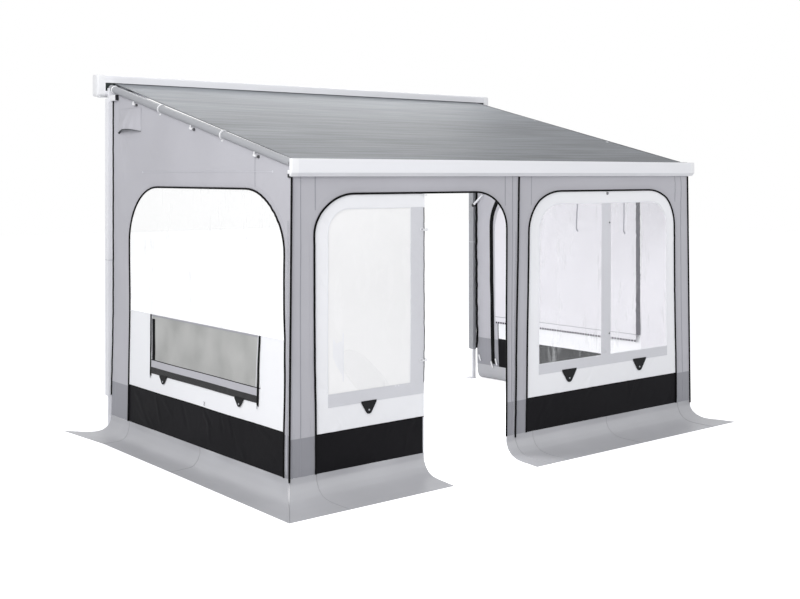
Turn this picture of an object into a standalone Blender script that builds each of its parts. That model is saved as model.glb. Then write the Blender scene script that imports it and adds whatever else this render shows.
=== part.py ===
"""Wall-hung caravan awning with its attached room.

A slim case on the vehicle carries a roller. The roof cloth runs from it to a lead rail, held out
by two spring arms, two telescopic rafters and two folding legs. Cloth walls with clear windows
close the sides and the front, and a skirt runs along the ground. One leaf of the front door is
folded back behind the other.

The pieces are built round the middle of the front wall: +X to the right, +Y towards the vehicle,
+Z up, ground at zero. An empty then brings the whole awning to the middle of its own footprint.
"""

import math

import bmesh
import bpy
from mathutils import Euler, Matrix, Vector

# Clearances and cloth
GAP = 0.0003
SLACK = 0.0005
RUNNING = 0.001
OVERRUN = 0.01
WELD = 0.00001
CLOTH = 0.004
FILM = 0.002
SKIRT_CLOTH = 0.003

# Room
ROOM_WIDTH = 3.946
ROOM_DEPTH = 2.480
HEM_HEIGHT = 0.145
RIGHT_TOE_IN = 0.090

# Lead rail
RAIL_LENGTH = 4.000
RAIL_BOTTOM = 2.000
RAIL_HEIGHT = 0.111
RAIL_FRONT = 0.041
RAIL_BACK = 0.059
RAIL_WALL = 0.003
RAIL_CHAMFER = 0.023
RAIL_ROUND = 0.008
RAIL_CAP = 0.055
RAIL_CAP_DEPTH = 0.031
RAIL_LIP = 0.010

# Case on the vehicle
CASE_LENGTH = 4.176
CASE_BEHIND = 0.133
CASE_DEPTH = 0.097
CASE_TOP = 2.789
CASE_HEIGHT = 0.165
CASE_WALL = 0.003
CASE_ROUND = 0.020
CASE_CHAMFER = 0.016
CASE_SLOT_TOP = 0.061
CASE_LIP = 0.040
CASE_CAP = 0.067
CASE_CAP_PROUD = 0.0015
CASE_CAP_BEVEL = 0.006
ROLLER_RADIUS = 0.035
ROLLER_WALL = 0.003
ROLLER_IN = 0.049
ROLLER_RISE = 0.005
JOURNAL_LENGTH = 0.020

# Brackets on the vehicle's wall
BRACKET_WIDTH = 0.120
BRACKET_HEIGHT = 0.120
BRACKET_THICK = 0.020
BRACKET_BEVEL = 0.004
BRACKET_IN = 0.450

# Roof cloth
ROOF_THICK = 0.003
ROOF_LEFT_IN = 0.035
ROOF_RIGHT_IN = 0.033
ROOF_OVER_RAIL = 0.070
ROOF_WRAP = 150

# Rafters
RAFTER_RADIUS = 0.0275
RAFTER_STEP = 0.0015
RAFTER_RIGHT_IN = 0.085
RAFTER_LEFT_DROP_FRONT = 0.0137
RAFTER_LEFT_DROP_REAR = 0.0328
COLLAR_RADIUS = 0.0315
COLLAR_LENGTH = 0.016
RAFTER_OVERLAP = 0.250
RAFTER_END = 0.004
RAFTER_REAR_SHARE = 0.33
RAFTER_MIDDLE_SHARE = 0.35

# Spring arms
ARM_IN = 0.420
ARM_REACH = 0.500
ARM_DROP = 0.038
ARM_WIDTH = 0.040
ARM_THICK = 0.024
ARM_TONGUE = 0.010
ARM_PIN_RADIUS = 0.007
ARM_BRACKET_WIDTH = 0.070
ARM_FLANGE = 0.008
ARM_EYE_OUT = 0.036
ARM_BRACKET_HEIGHT = 0.046

# Folding legs
LEG_IN = 0.115
LEG_WIDTH = 0.036
LEG_THICK = 0.020
LEG_WALL = 0.0022
LEG_FRONT = 0.012
LEG_PIVOT_DROP = 0.055
LEG_PIN_RADIUS = 0.004
LEG_UPPER_LENGTH = 1.120
LEG_OVERLAP = 0.300
LEG_COLLAR = 0.060
LEG_COLLAR_PROUD = 0.0035
LEG_HINGE_WIDTH = 0.060
FOOT_LENGTH = 0.084
FOOT_HEIGHT = 0.014
FOOT_PIVOT = 0.030
FOOT_PIN_RADIUS = 0.004
FOOT_EAR = 0.0045

# Rear poles
POLE_WIDTH = 0.045
POLE_DEPTH = 0.060
POLE_LEFT_INSIDE = 0.005
POLE_RIGHT_INSIDE = 0.044
POLE_BELOW_CASE = 0.024
POLE_WALL = 0.003
POLE_STEP = 0.290
POLE_OVERLAP = 0.420
POLE_GROOVE = 0.008
POLE_FOOT_TUBE = 0.020
POLE_BUSH = 0.020
POLE_GLIDE = 0.040
POLE_FOOT_WIDTH = 0.070
POLE_FOOT_DEPTH = 0.090
POLE_FOOT_THICK = 0.006
CRADLE_DROP = 0.030
CRADLE_WALL = 0.005

# Side walls
SIDE_ARCH_FRONT = 0.085
SIDE_ARCH_REAR = 0.280
SIDE_ARCH_TOP = 1.920
SIDE_ARCH_WIDE = 0.450
SIDE_ARCH_TALL = 0.410
SIDE_SILL = 0.985
FLAP_FRONT = 0.360
FLAP_REAR = 0.610
FLAP_DROP = 0.430
FLAP_THICK = 0.003
HOOD_REAR = 0.106
HOOD_WIDTH = 0.364
HOOD_DROP = 0.254
HOOD_HEIGHT = 0.170
HOOD_BULGE = 0.055
HOOD_ARCH = 0.025
HOOD_THICK = 0.002

# Front walls
SEAM_FROM_LEFT = 1.952
DOOR_LEFT = 0.182
DOOR_RIGHT = 1.848
DOOR_FOLD = 1.0725
FRONT_ARCH_TOP = 1.890
FRONT_ARCH_WIDE = 0.300
FRONT_ARCH_TALL = 0.260
BAY_LEFT = 2.055
BAY_RIGHT = 0.166
WINDOW_SILL = 0.620
WINDOW_TOP = 1.795
WINDOW_ROUND = 0.200
DOOR_WINDOW_LEFT = 0.278
DOOR_WINDOW_RIGHT = 0.952
LEAF_WINDOW_MARGIN = 0.100
BAY_WINDOW_LEFT = 2.182
BAY_WINDOW_RIGHT = 0.294

# Skirts
SKIRT_LEFT_OUT = 0.262
SKIRT_LEFT_CORNER_OUT = 0.247
SKIRT_RIGHT_OUT = 0.130
SKIRT_FRONT_OUT = 0.345
SKIRT_REAR_TIP = 0.308
SKIRT_DOOR_IN = 0.042
SKIRT_DOOR_RIGHT_IN = 0.030
SKIRT_CORNER_OUT = 0.126
SKIRT_CORNER_LAP = 0.030
SKIRT_CORNER_SEAM = 0.190
SKIRT_OUT_SHARES = (0.0, 0.0, 0.07, 0.18, 0.32, 0.50, 1.0)
SKIRT_HIGH_SHARES = (1.0, 0.72, 0.38, 0.15, 0.04, 0.0, 0.0)
SKIRT_SEAM_SHARES = (0.455, 0.887)
SKIRT_SEAM_OUTS = (0.229, 0.221)
SKIRT_FRONT_SEAM_SHARES = (0.35, 0.70)

ARC_STEPS = 8
ROUND_SIDES = 20

# Sizes that follow
HALF_ROOM = ROOM_WIDTH / 2
RAIL_TOP = RAIL_BOTTOM + RAIL_HEIGHT
CASE_BOTTOM = CASE_TOP - CASE_HEIGHT
CASE_BACK = ROOM_DEPTH + CASE_BEHIND
CASE_FRONT = CASE_BACK - CASE_DEPTH
SLOT_TOP = CASE_TOP - CASE_SLOT_TOP
SLOT_BOTTOM = CASE_BOTTOM + CASE_LIP
ROLLER_Y = CASE_FRONT + ROLLER_IN
ROOF_LOW = RAIL_TOP + GAP
ROLLER_Z = SLOT_TOP - ROLLER_RADIUS - ROOF_THICK + ROLLER_RISE
POLE_TOP = CASE_BOTTOM - POLE_BELOW_CASE
ROLL = ROLLER_RADIUS + GAP
ROOF_RUN, ROOF_RISE = ROLLER_Y - RAIL_BACK, ROLLER_Z - ROOF_LOW
ROOF_ANGLE = math.atan2(ROOF_RISE, ROOF_RUN) + math.asin(ROLL / math.hypot(ROOF_RUN, ROOF_RISE))
ROOF_SLOPE = math.tan(ROOF_ANGLE)
TOE_ANGLE = math.atan(RIGHT_TOE_IN / ROOM_DEPTH)
RIGHT_TIP = SKIRT_RIGHT_OUT * math.cos(TOE_ANGLE) - SKIRT_CORNER_LAP * math.sin(TOE_ANGLE)
MIDDLE_X = (RIGHT_TIP - SKIRT_LEFT_OUT) / 2
MIDDLE_Y = (ROOM_DEPTH + SKIRT_REAR_TIP - SKIRT_FRONT_OUT) / 2

FACING_FRONT = Euler((math.radians(90), 0, 0))
FACING_SIDE = Euler((math.radians(90), 0, math.radians(90)))


def clear_scene():
    for item in list(bpy.data.objects):
        bpy.data.objects.remove(item, do_unlink=True)


def new_collection(name):
    group = bpy.data.collections.new(name)
    bpy.context.scene.collection.children.link(group)
    return group


def new_material(name, colour, roughness, metallic=0.0, alpha=1.0):
    material = bpy.data.materials.new(name)
    material.use_nodes = True
    shader = material.node_tree.nodes["Principled BSDF"]
    shader.inputs["Base Color"].default_value = (*colour, 1.0)
    shader.inputs["Roughness"].default_value = roughness
    shader.inputs["Metallic"].default_value = metallic
    shader.inputs["Alpha"].default_value = alpha
    return material


clear_scene()
PARTS = new_collection("caravan_awning")
FINISHES = {
    "white_alloy": ((0.86, 0.87, 0.88), 0.35, 0.0, 1.0),
    "grey_alloy": ((0.62, 0.63, 0.65), 0.35, 0.6, 1.0),
    "white_plastic": ((0.82, 0.82, 0.83), 0.45, 0.0, 1.0),
    "roof_cloth": ((0.30, 0.32, 0.34), 0.80, 0.0, 1.0),
    "wall_cloth": ((0.46, 0.46, 0.49), 0.85, 0.0, 1.0),
    "band_cloth": ((0.80, 0.80, 0.82), 0.80, 0.0, 1.0),
    "clear_film": ((0.85, 0.88, 0.90), 0.10, 0.0, 0.3),
    "mesh_cloth": ((0.16, 0.16, 0.17), 0.90, 0.0, 1.0),
    "skirt_cloth": ((0.38, 0.38, 0.39), 0.60, 0.0, 1.0),
    "dark_plastic": ((0.03, 0.03, 0.035), 0.50, 0.0, 1.0),
}


def new_empty(name, location, parent=None, turn=0.0):
    empty = bpy.data.objects.new(name, None)
    empty.location = location
    empty.rotation_euler = (0, 0, turn)
    empty.parent = parent
    PARTS.objects.link(empty)
    return empty


ROOT = new_empty("awning_middle", (-MIDDLE_X, -MIDDLE_Y, 0))
SIDES = {
    -1: new_empty("left_side", (-HALF_ROOM, 0, 0), ROOT),
    1: new_empty("right_side", (HALF_ROOM, 0, 0), ROOT, TOE_ANGLE),
}
SIDE_NAMES = {-1: "left", 1: "right"}


def adopt(item, name, finish, parent=ROOT):
    """Name an object, give it its own material and hang it under its parent."""
    item.name = name
    item.data.name = name
    item.data.materials.clear()
    colour, roughness, metallic, alpha = FINISHES[finish]
    item.data.materials.append(new_material(name, colour, roughness, metallic, alpha))
    item.parent = parent
    for group in list(item.users_collection):
        group.objects.unlink(item)
    PARTS.objects.link(item)
    return item


def smooth(item, angle=40):
    item.data.shade_smooth()
    item.data.set_sharp_from_angle(angle=math.radians(angle))


def mesh_object(name, mesh):
    item = bpy.data.objects.new(name, mesh)
    PARTS.objects.link(item)
    return item


def bake_curve(item):
    """Replace a curve by its own mesh with the caps welded on, so that it can be cut."""
    depsgraph = bpy.context.evaluated_depsgraph_get()
    depsgraph.update()
    mesh = bpy.data.meshes.new_from_object(item.evaluated_get(depsgraph))
    work = bmesh.new()
    work.from_mesh(mesh)
    bmesh.ops.remove_doubles(work, verts=work.verts, dist=WELD)
    bmesh.ops.recalc_face_normals(work, faces=work.faces)
    work.to_mesh(mesh)
    work.free()
    baked = mesh_object(item.name, mesh)
    baked.matrix_world = item.matrix_world
    bpy.data.objects.remove(item, do_unlink=True)
    return baked


def plate_curve(loops, thickness, facing, place):
    """A flat outline, with any holes, thickened evenly to both sides of its plane."""
    curve = bpy.data.curves.new("outline", "CURVE")
    curve.dimensions = "2D"
    curve.fill_mode = "BOTH"
    curve.extrude = thickness / 2
    for loop in loops:
        spline = curve.splines.new("POLY")
        spline.points.add(len(loop) - 1)
        for point, (across, up) in zip(spline.points, loop):
            point.co = (across, up, 0, 1)
        spline.use_cyclic_u = True
    item = bpy.data.objects.new("outline", curve)
    bpy.context.scene.collection.objects.link(item)
    item.rotation_euler = facing
    item.location = place
    bpy.context.view_layer.update()
    return item


def plate(name, loops, thickness, facing, place, finish, parent=ROOT):
    return adopt(bake_curve(plate_curve(loops, thickness, facing, place)), name, finish, parent)


def cube(low, high):
    """A box between two corners."""
    bpy.ops.mesh.primitive_cube_add(size=1)
    item = bpy.context.object
    low, high = Vector(low), Vector(high)
    item.scale = high - low
    item.location = (low + high) / 2
    bpy.ops.object.transform_apply(location=True, rotation=True, scale=True)
    return item


def box(name, low, high, finish, parent=ROOT, bevel=0.0):
    item = adopt(cube(low, high), name, finish, parent)
    if bevel:
        add_bevel(item, bevel)
    return item


def add_bevel(item, width, segments=2, angle=40):
    bevel = item.modifiers.new("rounded", "BEVEL")
    bevel.width = width
    bevel.segments = segments
    bevel.limit_method = "ANGLE"
    bevel.angle_limit = math.radians(angle)


def rod(radius, start, end, sides=ROUND_SIDES):
    """A straight round bar from one point to another."""
    start, end = Vector(start), Vector(end)
    along = end - start
    bpy.ops.mesh.primitive_cylinder_add(vertices=sides, radius=radius, depth=along.length)
    item = bpy.context.object
    item.rotation_euler = along.to_track_quat("Z", "Y").to_euler()
    item.location = (start + end) / 2
    bpy.ops.object.transform_apply(location=True, rotation=True, scale=True)
    return item


def combine(item, other, operation):
    """Join or cut now, and drop the second solid."""
    tool = item.modifiers.new("shape", "BOOLEAN")
    tool.operation = operation
    tool.object = other
    tool.solver = "EXACT"
    bpy.context.view_layer.objects.active = item
    bpy.context.view_layer.update()
    bpy.ops.object.modifier_apply(modifier=tool.name)
    bpy.data.objects.remove(other, do_unlink=True)
    return item


def add(item, other):
    return combine(item, other, "UNION")


def cut(item, other):
    return combine(item, other, "DIFFERENCE")


def corner(middle, reach, start, steps=ARC_STEPS):
    """Points of a quarter ellipse round a middle, turning clockwise from the start angle."""
    points = []
    for step in range(steps + 1):
        turn = math.radians(start - 90 * step / steps)
        points.append((middle[0] + reach[0] * math.cos(turn), middle[1] + reach[1] * math.sin(turn)))
    return points


def arch(left, right, bottom, top, wide, tall, shrink=0.0):
    """An arch with elliptical shoulders, from its bottom left round to its bottom right."""
    left, right, top = left + shrink, right - shrink, top - shrink
    wide, tall = wide - shrink, tall - shrink
    points = [(left, bottom)]
    points += corner((left + wide, top - tall), (wide, tall), 180)
    points += corner((right - wide, top - tall), (wide, tall), 90)
    points.append((right, bottom))
    return points


def roof_under(y):
    """Height of the roof cloth's lower face."""
    return ROOF_LOW + ROOF_SLOPE * (y - RAIL_BACK)


# Case

def case_outline(proud=0.0):
    """Outer outline of the case in Y and Z, from the lower lip round the back to the upper lip."""
    front, back = CASE_FRONT - proud, CASE_BACK
    top, bottom = CASE_TOP + proud, CASE_BOTTOM - proud
    points = [(front, bottom + CASE_CHAMFER), (front + CASE_CHAMFER, bottom), (back, bottom), (back, top)]
    points += list(reversed(corner((front + CASE_ROUND, top - CASE_ROUND), (CASE_ROUND, CASE_ROUND), 180)))
    return points


def make_case():
    length = CASE_LENGTH - 2 * CASE_CAP - 2 * GAP
    inner_front, inner_back = CASE_FRONT + CASE_WALL, CASE_BACK - CASE_WALL
    inner_top, inner_bottom = CASE_TOP - CASE_WALL, CASE_BOTTOM + CASE_WALL
    bend = CASE_ROUND - CASE_WALL
    inner = corner((inner_front + bend, inner_top - bend), (bend, bend), 180)
    loop = case_outline()
    loop += [(CASE_FRONT, SLOT_TOP), (inner_front, SLOT_TOP)]
    loop += inner
    loop += [(inner_back, inner_top), (inner_back, inner_bottom),
             (CASE_FRONT + CASE_CHAMFER, inner_bottom), (inner_front, CASE_BOTTOM + CASE_CHAMFER),
             (inner_front, SLOT_BOTTOM), (CASE_FRONT, SLOT_BOTTOM)]
    smooth(plate("case_housing", [loop], length, FACING_SIDE, (0, 0, 0), "white_alloy"))
    bore = ROLLER_RADIUS - ROLLER_WALL
    for side, label in SIDE_NAMES.items():
        middle = side * (CASE_LENGTH - CASE_CAP) / 2
        cap = bake_curve(plate_curve([case_outline(CASE_CAP_PROUD)], CASE_CAP, FACING_SIDE, (middle, 0, 0)))
        face = side * (CASE_LENGTH / 2 - CASE_CAP)
        journal = rod(bore - SLACK, (face + side * CASE_CAP / 2, ROLLER_Y, ROLLER_Z),
                      (face - side * JOURNAL_LENGTH, ROLLER_Y, ROLLER_Z))
        adopt(add(cap, journal), "case_cap_" + label, "white_plastic")
        add_bevel(cap, CASE_CAP_BEVEL, angle=60)
        smooth(cap)
    half = CASE_LENGTH / 2 - CASE_CAP - RUNNING
    roller = rod(ROLLER_RADIUS, (-half, ROLLER_Y, ROLLER_Z), (half, ROLLER_Y, ROLLER_Z))
    cut(roller, rod(bore, (-half - OVERRUN, ROLLER_Y, ROLLER_Z), (half + OVERRUN, ROLLER_Y, ROLLER_Z)))
    smooth(adopt(roller, "fabric_roller", "grey_alloy"))


def make_wall_brackets():
    middle_z = (CASE_TOP + CASE_BOTTOM) / 2
    places = {"left": -(CASE_LENGTH / 2 - BRACKET_IN), "middle": 0, "right": CASE_LENGTH / 2 - BRACKET_IN}
    for label, middle in places.items():
        low = (middle - BRACKET_WIDTH / 2, CASE_BACK + GAP, middle_z - BRACKET_HEIGHT / 2)
        high = (middle + BRACKET_WIDTH / 2, CASE_BACK + GAP + BRACKET_THICK, middle_z + BRACKET_HEIGHT / 2)
        box("wall_bracket_" + label, low, high, "grey_alloy", bevel=BRACKET_BEVEL)


# Roof and lead rail

def roll_points():
    """The last turn of the cloth on the roller: out along its inner face, back along its outer face."""
    turns = [math.radians(90) + ROOF_ANGLE - math.radians(ROOF_WRAP) * step / ARC_STEPS
             for step in range(ARC_STEPS + 1)]
    inner = [(ROLL / math.cos(math.radians(ROOF_WRAP) / ARC_STEPS / 2), turn) for turn in turns[1:]]
    outer = [(ROLL + ROOF_THICK + GAP, turn) for turn in reversed(turns)]
    return [(ROLL, turns[0])] + inner + outer


def make_roof():
    rise = ROOF_THICK / math.cos(ROOF_ANGLE)
    front = RAIL_BACK - ROOF_OVER_RAIL
    loop = [(front, ROOF_LOW), (RAIL_BACK, ROOF_LOW)]
    loop += [(ROLLER_Y + reach * math.cos(turn), ROLLER_Z + reach * math.sin(turn))
             for reach, turn in roll_points()]
    loop += [(RAIL_BACK, ROOF_LOW + rise), (front, ROOF_LOW + ROOF_THICK)]
    left, right = -HALF_ROOM + ROOF_LEFT_IN, HALF_ROOM - ROOF_RIGHT_IN
    plate("roof_cloth", [loop], right - left, FACING_SIDE, ((left + right) / 2, 0, 0), "roof_cloth")


def rail_outline():
    """Outer outline of the lead rail in Y and Z, from its lower front up and over to its back."""
    points = [(-RAIL_FRONT + RAIL_CHAMFER, RAIL_BOTTOM), (-RAIL_FRONT, RAIL_BOTTOM + RAIL_CHAMFER)]
    points += corner((-RAIL_FRONT + RAIL_ROUND, RAIL_TOP - RAIL_ROUND), (RAIL_ROUND, RAIL_ROUND), 180, 4)
    points += [(RAIL_BACK, RAIL_TOP)]
    return points


def make_rail():
    """The rail is closed in front and open below, where the folded legs lie.

    Its left cap is shallow, because the left rafter ends behind it beside the rail.
    """
    front_web = LEG_FRONT - 2 * RUNNING
    loop = rail_outline() + [
        (RAIL_BACK, RAIL_BOTTOM + RAIL_LIP),
        (RAIL_BACK - RAIL_WALL, RAIL_BOTTOM + RAIL_LIP),
        (RAIL_BACK - RAIL_WALL, RAIL_TOP - RAIL_WALL),
        (front_web, RAIL_TOP - RAIL_WALL),
        (front_web, RAIL_BOTTOM),
    ]
    hollow = [
        (-RAIL_FRONT + RAIL_CHAMFER + RAIL_WALL, RAIL_BOTTOM + RAIL_WALL),
        (-RAIL_FRONT + RAIL_WALL, RAIL_BOTTOM + RAIL_CHAMFER + RAIL_WALL),
        (-RAIL_FRONT + RAIL_WALL, RAIL_TOP - 2 * RAIL_WALL),
        (front_web - RAIL_WALL, RAIL_TOP - 2 * RAIL_WALL),
        (front_web - RAIL_WALL, RAIL_BOTTOM + RAIL_WALL),
    ]
    length = RAIL_LENGTH - 2 * RAIL_CAP - 2 * GAP
    smooth(plate("lead_rail", [loop, hollow], length, FACING_SIDE, (0, 0, 0), "white_alloy"))
    cap_back = RAIL_CAP_DEPTH - RAIL_FRONT
    cap_loops = {
        -1: rail_outline()[:-1] + [(cap_back, RAIL_TOP), (cap_back, RAIL_BOTTOM)],
        1: rail_outline() + [(RAIL_BACK, RAIL_BOTTOM + RAIL_LIP), (RAIL_BACK - RAIL_LIP, RAIL_BOTTOM)],
    }
    for side, label in SIDE_NAMES.items():
        middle, cap_loop = side * (RAIL_LENGTH - RAIL_CAP) / 2, cap_loops[side]
        cap = plate("rail_cap_" + label, [cap_loop], RAIL_CAP, FACING_SIDE, (middle, 0, 0), "white_plastic")
        add_bevel(cap, RAIL_LIP / 4, angle=60)
        smooth(cap)


# Spring arms

def arm_matrix(place, turn):
    """Local X along the arm, local Z square to the roof, at a height below the roof cloth."""
    tilt = Matrix.Rotation(ROOF_ANGLE, 4, "X")
    height = roof_under(place[1]) - ARM_DROP / math.cos(ROOF_ANGLE)
    return Matrix.Translation((place[0], place[1], height)) @ tilt @ Matrix.Rotation(turn, 4, "Z")


def arm_bar(length):
    """A bar with round ends and an eye at both of them, its first eye at zero."""
    radius = ARM_WIDTH / 2
    outline = []
    for step in range(ARC_STEPS + 1):
        turn = math.radians(90 + 180 * step / ARC_STEPS)
        outline.append((radius * math.cos(turn), radius * math.sin(turn)))
    for step in range(ARC_STEPS + 1):
        turn = math.radians(270 + 180 * step / ARC_STEPS)
        outline.append((length + radius * math.cos(turn), radius * math.sin(turn)))
    return bake_curve(plate_curve([outline], ARM_THICK, Euler((0, 0, 0)), (0, 0, 0)))


def cut_tongue(bar, place, towards):
    """Thin a bar's end to a tongue with a pin hole, for the fork of the next piece."""
    half, reach = ARM_WIDTH / 2 + RUNNING, ARM_WIDTH
    for level in (-1, 1):
        inner, outer = level * ARM_TONGUE / 2, level * (ARM_THICK / 2 + OVERRUN)
        low = (min(place - towards * half, place + towards * reach), -ARM_WIDTH, min(inner, outer))
        high = (max(place - towards * half, place + towards * reach), ARM_WIDTH, max(inner, outer))
        cut(bar, cube(low, high))
    cut(bar, rod(ARM_PIN_RADIUS + GAP, (place, 0, -ARM_THICK), (place, 0, ARM_THICK)))


def cut_fork(bar, place, towards):
    """Slot a bar's end and put the pin through both cheeks."""
    half, reach = ARM_WIDTH / 2 + RUNNING, ARM_WIDTH
    low = (min(place - towards * half, place + towards * reach), -ARM_WIDTH, -ARM_TONGUE / 2 - SLACK)
    high = (max(place - towards * half, place + towards * reach), ARM_WIDTH, ARM_TONGUE / 2 + SLACK)
    cut(bar, cube(low, high))
    add(bar, rod(ARM_PIN_RADIUS, (place, 0, -ARM_THICK / 2 - RUNNING), (place, 0, ARM_THICK / 2 + RUNNING)))


def bracket_outline(towards):
    """A round head on a neck and a wide flange, seen square to the roof, its eye at zero."""
    half, flange = ARM_WIDTH / 2, ARM_BRACKET_WIDTH / 2
    neck = ARM_EYE_OUT - ARM_FLANGE
    points = []
    for step in range(ARC_STEPS + 1):
        turn = math.radians(180 * step / ARC_STEPS)
        points.append((half * math.cos(turn), half * math.sin(turn)))
    slope = neck + ARM_FLANGE / 4
    points += [(-half, -neck), (-flange, -slope), (-flange, -2 * ARM_EYE_OUT),
               (flange, -2 * ARM_EYE_OUT), (flange, -slope), (half, -neck)]
    return [(across, towards * up) for across, up in points]


def arm_bracket(side, label, kind, face_y, towards):
    """A fork block on the case or the rail, with the pin that carries an arm's end."""
    place = (side * (HALF_ROOM - ARM_IN), face_y + towards * ARM_EYE_OUT)
    block = bake_curve(plate_curve([bracket_outline(towards)], ARM_BRACKET_HEIGHT,
                                   Euler((0, 0, 0)), (0, 0, 0)))
    back, mouth = sorted((-towards * (ARM_WIDTH / 2 + RUNNING), towards * ARM_WIDTH))
    cut(block, cube((-ARM_WIDTH, back, -ARM_TONGUE / 2 - SLACK), (ARM_WIDTH, mouth, ARM_TONGUE / 2 + SLACK)))
    level = ARM_BRACKET_HEIGHT / 2 + RUNNING
    add(block, rod(ARM_PIN_RADIUS, (0, 0, -level), (0, 0, level)))
    block.data.transform(arm_matrix(place, 0))
    near, far = sorted((face_y + towards * GAP, face_y - 2 * towards * ARM_EYE_OUT))
    cut(block, cube((place[0] - ARM_BRACKET_WIDTH, near, RAIL_BOTTOM - OVERRUN),
                    (place[0] + ARM_BRACKET_WIDTH, far, CASE_TOP + OVERRUN)))
    smooth(adopt(block, kind + label, "grey_alloy"))
    return place


def make_arms():
    for side, label in SIDE_NAMES.items():
        wrist = arm_bracket(side, label, "arm_wrist_", RAIL_BACK, 1)
        shoulder = arm_bracket(side, label, "arm_shoulder_", CASE_FRONT, -1)
        half_run = (shoulder[1] - wrist[1]) / 2 / math.cos(ROOF_ANGLE)
        length = math.hypot(half_run, ARM_REACH)
        lean = math.atan2(ARM_REACH, half_run)
        inner = arm_bar(length)
        cut_tongue(inner, 0, -1)
        cut_tongue(inner, length, 1)
        inner.data.transform(arm_matrix(shoulder, math.radians(-90) - side * lean))
        smooth(adopt(inner, "arm_inner_" + label, "grey_alloy"))
        outer = arm_bar(length)
        cut_tongue(outer, 0, -1)
        cut_fork(outer, length, 1)
        outer.data.transform(arm_matrix(wrist, math.radians(90) + side * lean))
        smooth(adopt(outer, "arm_outer_" + label, "grey_alloy"))


# Rafters

def rafter_height(side, y):
    """Height of a rafter's axis: the left one runs beside the roof cloth, the right one under it."""
    if side > 0:
        return roof_under(y) - (RAFTER_RADIUS + SLACK) / math.cos(ROOF_ANGLE)
    share = (y - RAIL_BACK) / (CASE_FRONT - RAIL_BACK)
    return roof_under(y) - RAFTER_LEFT_DROP_FRONT * (1 - share) - RAFTER_LEFT_DROP_REAR * share


def rafter_ends(side):
    """Where a rafter's axis starts at the lead rail and ends in front of the case."""
    lean = RAFTER_RADIUS * math.sin(ROOF_ANGLE)
    across = -HALF_ROOM if side < 0 else HALF_ROOM - RAFTER_RIGHT_IN
    rest = RAIL_CAP_DEPTH - RAIL_FRONT if side < 0 else RAIL_BACK
    return [Vector((across, y, rafter_height(side, y)))
            for y in (rest + GAP + lean, CASE_FRONT - GAP - lean)]


def make_rafters():
    """Three tubes, each running in the one behind it."""
    for side, label in SIDE_NAMES.items():
        start, end = rafter_ends(side)
        along = (end - start).normalized()
        total = (end - start).length
        first = end - along * total * RAFTER_REAR_SHARE
        second = first - along * total * RAFTER_MIDDLE_SHARE
        overlap, over = along * RAFTER_OVERLAP, along * OVERRUN
        closed = along * RAFTER_END
        middle_radius, front_radius = RAFTER_RADIUS - RAFTER_STEP, RAFTER_RADIUS - 2 * RAFTER_STEP
        rear = add_collar(rod(RAFTER_RADIUS, end, first), first, along, side)
        cut(rear, rod(middle_radius + GAP, end - closed, first - over))
        smooth(adopt(rear, "rafter_rear_" + label, "grey_alloy"))
        middle = add_collar(rod(middle_radius, first + overlap, second), second, along, side)
        cut(middle, rod(front_radius + GAP, first + overlap - closed, second - over))
        smooth(adopt(middle, "rafter_middle_" + label, "grey_alloy"))
        front = rod(front_radius, second + overlap, start)
        cut(front, rod(front_radius - RAFTER_STEP, second + overlap + over, start + closed))
        smooth(adopt(front, "rafter_front_" + label, "grey_alloy"))


def add_collar(tube, place, along, side):
    """The clamping ring at the front end of a rafter tube; under the roof it is flat on top."""
    ring = rod(COLLAR_RADIUS, place + along * SLACK, place + along * COLLAR_LENGTH)
    if side < 0:
        return add(tube, ring)
    sweep = Matrix.Translation(place) @ Matrix.Rotation(ROOF_ANGLE, 4, "X")
    shave = cube((-COLLAR_RADIUS * 2, -COLLAR_LENGTH * 2, RAFTER_RADIUS + SLACK / 2),
                 (COLLAR_RADIUS * 2, COLLAR_LENGTH * 2, COLLAR_RADIUS * 2))
    shave.data.transform(sweep)
    cut(ring, shave)
    return add(tube, ring)


# Folding legs

def make_legs():
    pivot_z = RAIL_TOP - LEG_PIVOT_DROP
    for side, label in SIDE_NAMES.items():
        across = side * (HALF_ROOM - LEG_IN)
        front = LEG_FRONT if side < 0 else LEG_FRONT + LEG_THICK + 2 * RUNNING
        middle_y = front + LEG_THICK / 2
        make_leg_hinge(side, label, across, front, pivot_z)
        swing = new_empty("leg_swing_" + label, (across, middle_y, pivot_z), ROOT)
        make_leg_upper(label, swing)
        make_leg_lower(label, swing, pivot_z)
        make_leg_foot(label, swing, pivot_z)


def make_leg_hinge(side, label, across, front, pivot_z):
    """A plate in the rail's channel with the pin that the leg swings on."""
    if side < 0:
        plate_low, plate_high = front + LEG_THICK + RUNNING, RAIL_BACK - RAIL_WALL - SLACK
        pin_end = front + RUNNING
    else:
        plate_low, plate_high = LEG_FRONT - RUNNING, front - RUNNING
        pin_end = front + LEG_THICK - RUNNING
    half = LEG_HINGE_WIDTH / 2
    item = cube((across - half, plate_low, pivot_z - LEG_WIDTH / 2),
                (across + half, plate_high, RAIL_TOP - RAIL_WALL - GAP))
    plate_middle = (plate_low + plate_high) / 2
    add(item, rod(LEG_PIN_RADIUS, (across, plate_middle, pivot_z), (across, pin_end, pivot_z)))
    adopt(item, "leg_hinge_" + label, "grey_alloy")


def leg_tube(half_wide, half_thick, top, bottom):
    return cube((-half_wide, -half_thick, bottom), (half_wide, half_thick, top))


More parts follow.
